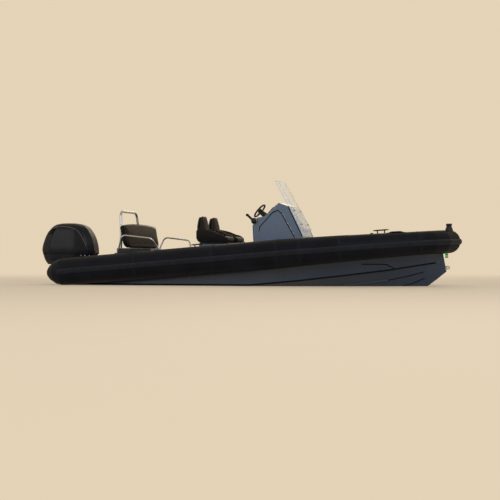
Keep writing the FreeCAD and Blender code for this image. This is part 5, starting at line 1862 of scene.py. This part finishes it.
    def _door(self) -> None:
        """Hangs the locker door on the console's aft face."""
        spot, (middle, half_y, half_up), (up, y) = self.aft.spot, self.door, self.latch_at
        panel = self.aft.panel((middle, 0, 0.001), rounded_outline(half_y, half_up, 0.04, 8),
                               0.010, 0.004, 0.001)
        rim = [spot(middle + b, a, 0.001)
               for a, b in rounded_outline(half_y + 0.003, half_up + 0.003, 0.04, 8)]
        metal = [turned(spot(up, y, 0.011), self.aft.out, self.latch),
                 rope([spot(up, y - 0.014, 0.0155), spot(up, y, 0.018), spot(up, y + 0.014, 0.0155)], 0.003)]
        metal += [rope([spot(up + end, self.hinge_y, 0.008) for end in (-0.03, 0.03)], 0.006, 12)
                  for up in self.hinges_up]
        self.add("console_door", [panel], Palette.CONSOLE)
        self.add("console_door_gasket", [rope([*rim, rim[0]], 0.003)], Palette.GASKET)
        self.add("console_door_latch", metal, Palette.STEEL)

    def _screen_edge(self) -> None:
        """Runs the pale edge round the windscreen; its pale colour paints the light caught in the sheet's
        polished edge.
        """
        low, high = ([(x - 0.045, -half, z), (x, 0.07 - half, z), (x, half - 0.07, z), (x - 0.045, half, z)]
                     for x, z, half in self.screen)
        path = [Vector(spot) for spot in refined([low[0], *high, low[3]], 12)]
        path = [spot - UP * 0.004 if spot.z > 1.926 else spot for spot in path]
        self.add("windscreen_edge", [rope(path, self.screen_edge)], Palette.SCREEN_EDGE)

    def _screen_caps(self) -> None:
        """Screws a cap on the windscreen over each fixing."""
        screen, out = Surface(self.nodes["windscreen"]), Face(self.brow, self.nose).out
        starts = [self._on_front(share, side * self.cap_y) + out * 0.4
                  for share in self.cap_shares for side in SIDES]
        self.add("windscreen_caps", [turned(*hit, self.cap) for hit in screen.trail(starts, -out)],
                 Palette.STEEL)


@dataclass
class Helm(Assembly):
    """The steering wheel and the throttle."""

    centre: Vector = field(default_factory=lambda: Vector((0.225, -0.1, 1.388)))
    tilt_deg: float = 40
    radius: float = 0.155
    rim: float = 0.0172
    finger_grips: int = 24
    spokes_deg: tuple = (90, 210, 330)
    hub: float = 0.042
    hub_deep: float = 0.034
    lever_foot: Vector = field(default_factory=lambda: Vector((0.212, -0.3903, 1.188)))
    lever_way: Vector = field(default_factory=lambda: Vector((-0.74, 0, 0.67)))
    lever_long: float = 0.165
    # Profiles: radius, height
    housing: tuple = ((0.058, 0), (0.058, 0.014), (0.054, 0.022), (0.044, 0.026), (0.034, 0.030),
                      (0.033, 0.044), (0.029, 0.050), (0.012, 0.052), (0.001, 0.052))
    ring: tuple = ((0.0585, 0.0165), (0.0585, 0.0195), (0.0565, 0.021), (0.053, 0.0215), (0.053, 0.0165))
    # Grip: place along its axis, half thickness
    grip: tuple = ((-0.038, 0.012), (-0.035, 0.020), (-0.026, 0.0240), (0, 0.0230), (0.026, 0.0240),
                   (0.035, 0.020), (0.038, 0.012))

    def build(self) -> None:
        """Builds the wheel and the throttle."""
        self._wheel()
        self._throttle()

    def _wheel(self) -> None:
        """Shapes the rim with its finger grips, three dished spokes and the hub."""
        tilt = math.radians(self.tilt_deg)
        out, port = Vector((-math.cos(tilt), 0, math.sin(tilt))), Vector((0, 1, 0))
        across = out.cross(port)
        middle = self.radius - self.rim
        axis, first, second = axes(out)
        rim, arms = [], []
        for turn in spread(0, math.tau, 145):
            way = first * math.cos(turn) + second * math.sin(turn)
            size = self.rim * (0.94 + 0.06 * math.cos(turn * self.finger_grips))
            rim.append([self.centre + way * (middle + size * a) + axis * (size * b) for a, b in circle(14)])
        for angle in map(math.radians, self.spokes_deg):
            way = port * math.cos(angle) + across * math.sin(angle)
            side = way.cross(out)
            rings = []
            for share in spread(0, 1, 16):
                spot = (self.centre + way * (0.03 + (middle - 0.026) * share)
                        - out * (0.010 * math.sin(math.pi * share)))
                wide = 0.017 - 0.009 * smoothstep(share * 1.2)
                rings.append(rounded_ring(spot, side * wide, out * 0.0045, 4, 16))
            arms.append(skin(rings))
        cap = turned(self.centre - out * (self.hub_deep / 2), out,
                     ((0.030, 0), (self.hub, 0.006), (self.hub, 0.022), (0.036, 0.029), (0.020, 0.0325),
                      (0.002, 0.0338)))
        wheel = {"body": "steering_wheel", "slot": "wheel_grip"}
        self.add("steering_wheel_rim", [skin(rim, capped=False)], Palette.GRIP,
                 stands_for="steering_wheel", **wheel)
        self.add("steering_wheel_spokes", arms, Palette.STEEL, **wheel)
        self.add("steering_wheel_hub", [cap], Palette.MOULDING, **wheel)

    def _throttle(self) -> None:
        """Shapes the throttle's housing, lever and grip, and its bright ring."""
        out, foot = Vector((0, -1, 0)), self.lever_foot
        start, way = foot + out * 0.0416, self.lever_way.normalized()
        side = way.cross(out)
        arm = [rounded_ring(start + way * (self.lever_long * share),
                            side * (0.026 - 0.005 * smoothstep(share * 1.4)), out * 0.0085, 3, 18)
               for share in spread(0, 1, 20)]
        end = start + way * self.lever_long
        grip = [rounded_ring(end + out * place, way * size, side * size, 2.4, 22)
                for place, size in self.grip]
        self.add("throttle_lever", [turned(foot, out, self.housing, 48), skin(arm), skin(grip)],
                 Palette.MOULDING, slot="black_moulding", stands_for="throttle")
        self.add("throttle_ring", [turned(foot, out, self.ring)], Palette.STEEL, slot="black_moulding")


@dataclass
class Propeller(Assembly):
    """The three-bladed propeller."""

    BODY = "propeller"
    SLOT = "prop_steel"

    fore_x: float = -4.026
    height: float = -0.58
    hub: float = 0.054
    long: float = 0.150
    tip: float = 0.171
    pitch: float = 0.42
    thick: float = 0.0075
    blades_deg: tuple = (90, 210, 330)
    # Hub's nose and flare: share of the hub's radius, height; and the exhaust's inside: radius, height
    outside: tuple = ((0.98, 0.004), (1, 0.02), (0.96, 0.09), (0.92, 0.135), (0.98, 0.146), (0.95, 0.150))
    inside: tuple = ((0.044, 0.150), (0.043, 0.12), (0.016, 0.118), (0.0155, 0.146), (0.001, 0.148))
    # Blade: share of the reach, chord, skew
    blade: tuple = ((-0.12, 0.100, 0.0), (0.2, 0.130, 0.003), (0.5, 0.152, 0.010), (0.75, 0.140, 0.020),
                    (0.9, 0.104, 0.029), (0.97, 0.066, 0.035), (1.0, 0.022, 0.039))

    def build(self) -> None:
        """Builds the propeller."""
        centre = Vector((self.fore_x, 0, self.height))
        rows = [(0.046, 0), *[(self.hub * share, rise) for share, rise in self.outside], *self.inside]
        blades = [self._blade(centre + AFT * (self.long / 2), math.radians(turn)) for turn in self.blades_deg]
        self.add("propeller_blades", [turned(centre, AFT, rows, 60), *blades], Palette.PROP,
                 stands_for="propeller")

    def _blade(self, middle: Vector, turn: float) -> Shape:
        """Shapes one blade as twisted sections on growing circles.

        Args:
            middle: The hub's middle.
            turn: The blade's angle in radians.

        Returns:
            The points and the faces.
        """
        rings = []
        for share in spread(self.blade[0][0], self.blade[-1][0], 30):
            reach = self.hub + (self.tip - self.hub) * share
            chord, skew = between(self.blade, share)
            angle = math.atan2(self.pitch, math.tau * reach)
            thick = self.thick * (1 - 0.72 * max(share, 0))
            ring = []
            for a, b in circle(28):
                along = chord / 2 * a + skew
                off = thick * b * (1 - 0.25 * a) + 0.05 * (chord / 4 - along**2 / chord)
                swing = turn + (along * math.cos(angle) - off * math.sin(angle)) / reach
                place = along * math.sin(angle) + off * math.cos(angle)
                ring.append(middle + Vector((place, reach * math.cos(swing), reach * math.sin(swing))))
            rings.append(ring)
        return skin(rings)


@dataclass
class EngineTrim(Assembly):
    """The outboard's small parts below the cowl."""

    BODY = "outboard"

    abreast: float = 0.5
    anode: tuple[float, float, float] = (-4.095, 0, -0.4003)
    intakes: int = 5
    port: tuple[float, float, float] = (-3.192, -0.055, 0.640)
    # Profiles: radius, height
    port_rows: tuple = ((0.016, -0.004), (0.016, 0.018), (0.013, 0.022), (0.013, 0.034), (0.010, 0.040),
                        (0.002, 0.042))
    bolt: tuple = ((0.019, SUNK), (0.019, 0.002), (0.014, 0.0025), (0.014, 0.010), (0.011, 0.012),
                   (0.001, 0.0122))
    # Places seen from the side; the clamp's bolts have 6 or 24 sides
    leg_bolts: tuple = ((-3.66, -0.33), (-3.76, -0.33), (-3.70, 0.34), (-3.86, 0.34))
    clamp_bolts: tuple = ((-3.35, 0.305, 24), (-3.35, 0.18, 6), (-3.35, 0.02, 6))

    def build(self) -> None:
        """Builds the outboard's small parts."""
        leg = Surface(self.nodes["engine_leg"], self.nodes["gearcase"])
        self._anode()
        self._intakes(leg)
        self._flush_port()
        self._leg_bolts(leg)
        self._clamp_bolts()

    def _anode(self) -> None:
        """Bolts the anode under the plate."""
        corners = [Vector(self.anode) + Vector((a, b, 0)) for a, b in rounded_outline(0.05, 0.022, 0.012)]
        self.add("plate_anode", [plate(corners, -UP, 0.010, 0.003)], Palette.ZINC)

    def _intakes(self, leg: Surface) -> None:
        """Cuts the look of the water intakes into the gearcase's sides.

        Args:
            leg: The outside of the leg and the gearcase.
        """
        parts = []
        for side in SIDES:
            for number in range(self.intakes):
                starts = [Vector((x, side * self.abreast, -0.47 - 0.011 * number))
                          for x in spread(-3.70 - 0.004 * number, -3.64, 10)]
                path = [spot for spot, _ in leg.trail(starts, Vector((0, -side, 0)))]
                if len(path) > 3:
                    parts.append(rope(path, lambda share: 0.0035 * ends_eased(share, 6) + 0.0006))
        self.add("water_intakes", parts, Palette.GASKET)

    def _flush_port(self) -> None:
        """Fits the small warm-coloured fitting at the pan's front."""
        self.add("flush_port", [turned(Vector(self.port), -AFT, self.port_rows)], Palette.AMBER)

    def _leg_bolts(self, leg: Surface) -> None:
        """Puts the bolts along the leg's and the gearcase's joint.

        Args:
            leg: The outside of the leg and the gearcase.
        """
        parts = []
        for side in SIDES:
            starts = [Vector((x, side * self.abreast, z)) for x, z in self.leg_bolts]
            parts += [pan_head(*hit, 0.009, 0.006) for hit in leg.trail(starts, Vector((0, -side, 0)))]
        self.add("leg_bolts", parts, Palette.STEEL)

    def _clamp_bolts(self) -> None:
        """Puts the bolts on the clamp bracket's cheeks."""
        clamp = Surface(self.nodes["clamp_bracket"])
        parts = []
        for side in SIDES:
            for x, z, count in self.clamp_bolts:
                hits = clamp.trail([Vector((x, side * self.abreast, z))], Vector((0, -side, 0)))
                parts += [turned(*hit, self.bolt, count) for hit in hits]
        self.add("clamp_bolts", parts, Palette.STEEL, "hull")


@dataclass
class DeckTrim(Assembly):
    """The deck's small parts: the lid's latch and seal, the rails' screws, the hatch, the bench's panels."""

    latch_x: float = 2.94
    hinge_x: float = 2.30
    hinge_y: float = 0.38
    lid_x: float = 2.62
    seal_drop: float = 0.006
    hatch_x: float = -1.35
    # Profiles: radius, height
    latch: tuple = ((0.034, SUNK), (0.034, 0.002), (0.029, 0.004), (0.027, 0.0015), (0.003, 0.0015))
    hatch: tuple = ((0.105, SUNK), (0.105, 0.002), (0.098, 0.0045), (0.083, 0.0045), (0.081, 0.002),
                    (0.079, 0.0045), (0.02, 0.0048), (0.002, 0.0048))
    # Rails: node, the distance of the screws from a foot's middle
    rails: tuple = (("ski_bow", 0.038), ("side_rail_starboard", 0.030), ("side_rail_port", 0.030))
    # Bench panels: middle, the way it faces, the way along it, half its length
    panels: tuple = (((-2.06, -0.7152, 0.46), (0, -1, 0), (1, 0, 0), 0.345),
                     ((-2.06, 0.7152, 0.46), (0, 1, 0), (1, 0, 0), 0.345),
                     ((-2.4202, 0, 0.46), (-1, 0, 0), (0, 1, 0), 0.69))

    def build(self) -> None:
        """Builds the deck's trim."""
        self._lid()
        self._rail_screws()
        self._hatch()
        self._bench_panels()

    def _lid(self) -> None:
        """Fits the bow lid's latch, hinge leaves and seal."""
        lid = Surface(self.nodes["bow_locker_lid"])
        high = lid.hit(Vector((2.6, 0, 2)), -UP)[0].z
        latch = [turned(Vector((self.latch_x, 0, high)), UP, self.latch),
                 rope([Vector((self.latch_x, y, high + 0.005)) for y in (-0.022, 0, 0.022)], 0.0032)]
        leaves = []
        for y in (-self.hinge_y, self.hinge_y):
            foot = Vector((self.hinge_x, y, high))
            leaves.append(plate([foot + Vector((a, b, 0)) for a, b in rounded_outline(0.028, 0.036, 0.008)],
                                UP, 0.003, 0.001))
            leaves += [pan_head(foot + Vector((a, b, 0.003)), UP, 0.0055, 0.002)
                       for a, b in ((0.014, -0.022), (0.014, 0.022), (-0.010, 0))]
        self.add("bow_lid_latch", latch, Palette.STEEL, "bow_lid")
        self.add("bow_lid_hinges", leaves, Palette.STEEL, "bow_lid")
        self._lid_seal(lid, high - self.seal_drop)

    def _lid_seal(self, lid: Surface, height: float) -> None:
        """Runs the thin dark seal round the bow lid's top edge.

        Args:
            lid: The lid's outside.
            height: The seal's height.
        """
        path = []
        for turn in spread(0, math.tau, 160):
            way = Vector((math.cos(turn), math.sin(turn) * 1.3, 0))
            found = lid.hit(Vector((self.lid_x, 0, height)) + way * 1.2, -way)
            if found:
                path.append(Vector((found[0].x, found[0].y, height)) - way.normalized() * 0.001)
        self.add("bow_lid_seal", [rope(path, 0.003)], Palette.GASKET, "bow_lid")

    def _rail_screws(self) -> None:
        """Puts the screws on the feet of the ski-tow bow and the side rails."""
        parts = []
        for name, radius in self.rails:
            starts = [centre + Vector((math.cos(turn) * radius, math.sin(turn) * radius, 0.05))
                      for centre in self._feet(name) for turn in SCREW_TURNS]
            parts += [pan_head(spot, out, 0.0055, 0.0025)
                      for spot, out in Surface(self.nodes[name]).trail(starts, -UP) if out.z > 0.9]
        self.add("rail_foot_screws", parts, Palette.STEEL)

    def _feet(self, name: str) -> list[Vector]:
        """Finds the middles of a rail's feet from its lowest flat faces.

        Args:
            name: The rail's node.

        Returns:
            The middles.
        """
        feet: list[list[Vector]] = []
        for polygon in self.nodes[name].data.polygons:
            if polygon.normal.z > 0.98 and polygon.area < 0.004:
                near = (group for group in feet if (group[0] - polygon.center).length < 0.12)
                group = next(near, None)
                if group is None:
                    feet.append([polygon.center.copy()])
                else:
                    group.append(polygon.center.copy())
        return [sum(group, Vector()) / len(group) for group in feet]

    def _bench_panels(self) -> None:
        """Puts a dark panel on each end and on the back of the aft bench."""
        parts = []
        for middle, out, along, half in self.panels:
            corners = [Vector(middle) + Vector(along) * a + UP * b
                       for a, b in rounded_outline(half, 0.225, 0.03, 7)]
            parts.append(plate(corners, Vector(out), 0.006, 0.003, 0.001))
        self.add("bench_panels", parts, Palette.MOULDING)

    def _hatch(self) -> None:
        """Lays a round inspection hatch on the sole."""
        foot = Surface(self.nodes["deck_liner"]).hit(Vector((self.hatch_x, 0, 2)), -UP)[0]
        self.add("sole_hatch", [turned(foot, UP, self.hatch, 60)], Palette.MOULDING)


def main() -> None:
    """Builds the boat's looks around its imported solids."""
    logging.basicConfig(level=logging.INFO, format="%(message)s")
    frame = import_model()
    nodes = frame["nodes"]
    Palette.dress_nodes(nodes)
    Studio().build()
    assemblies = (Collar(nodes), HelmSeat(nodes, "helm_seat_starboard", -0.3),
                  HelmSeat(nodes, "helm_seat_port", 0.3), Bench(nodes), Cowl(nodes), Propeller(nodes),
                  EngineTrim(nodes), HullTrim(nodes), ConsoleTrim(nodes), Helm(nodes), DeckTrim(nodes))
    for assembly in assemblies:
        assembly.build()
        for piece in assembly.pieces:
            log.info("%s: %s, %d faces", type(assembly).__name__, piece.name, len(piece.data.polygons))


if __name__ == "__main__":
    main()
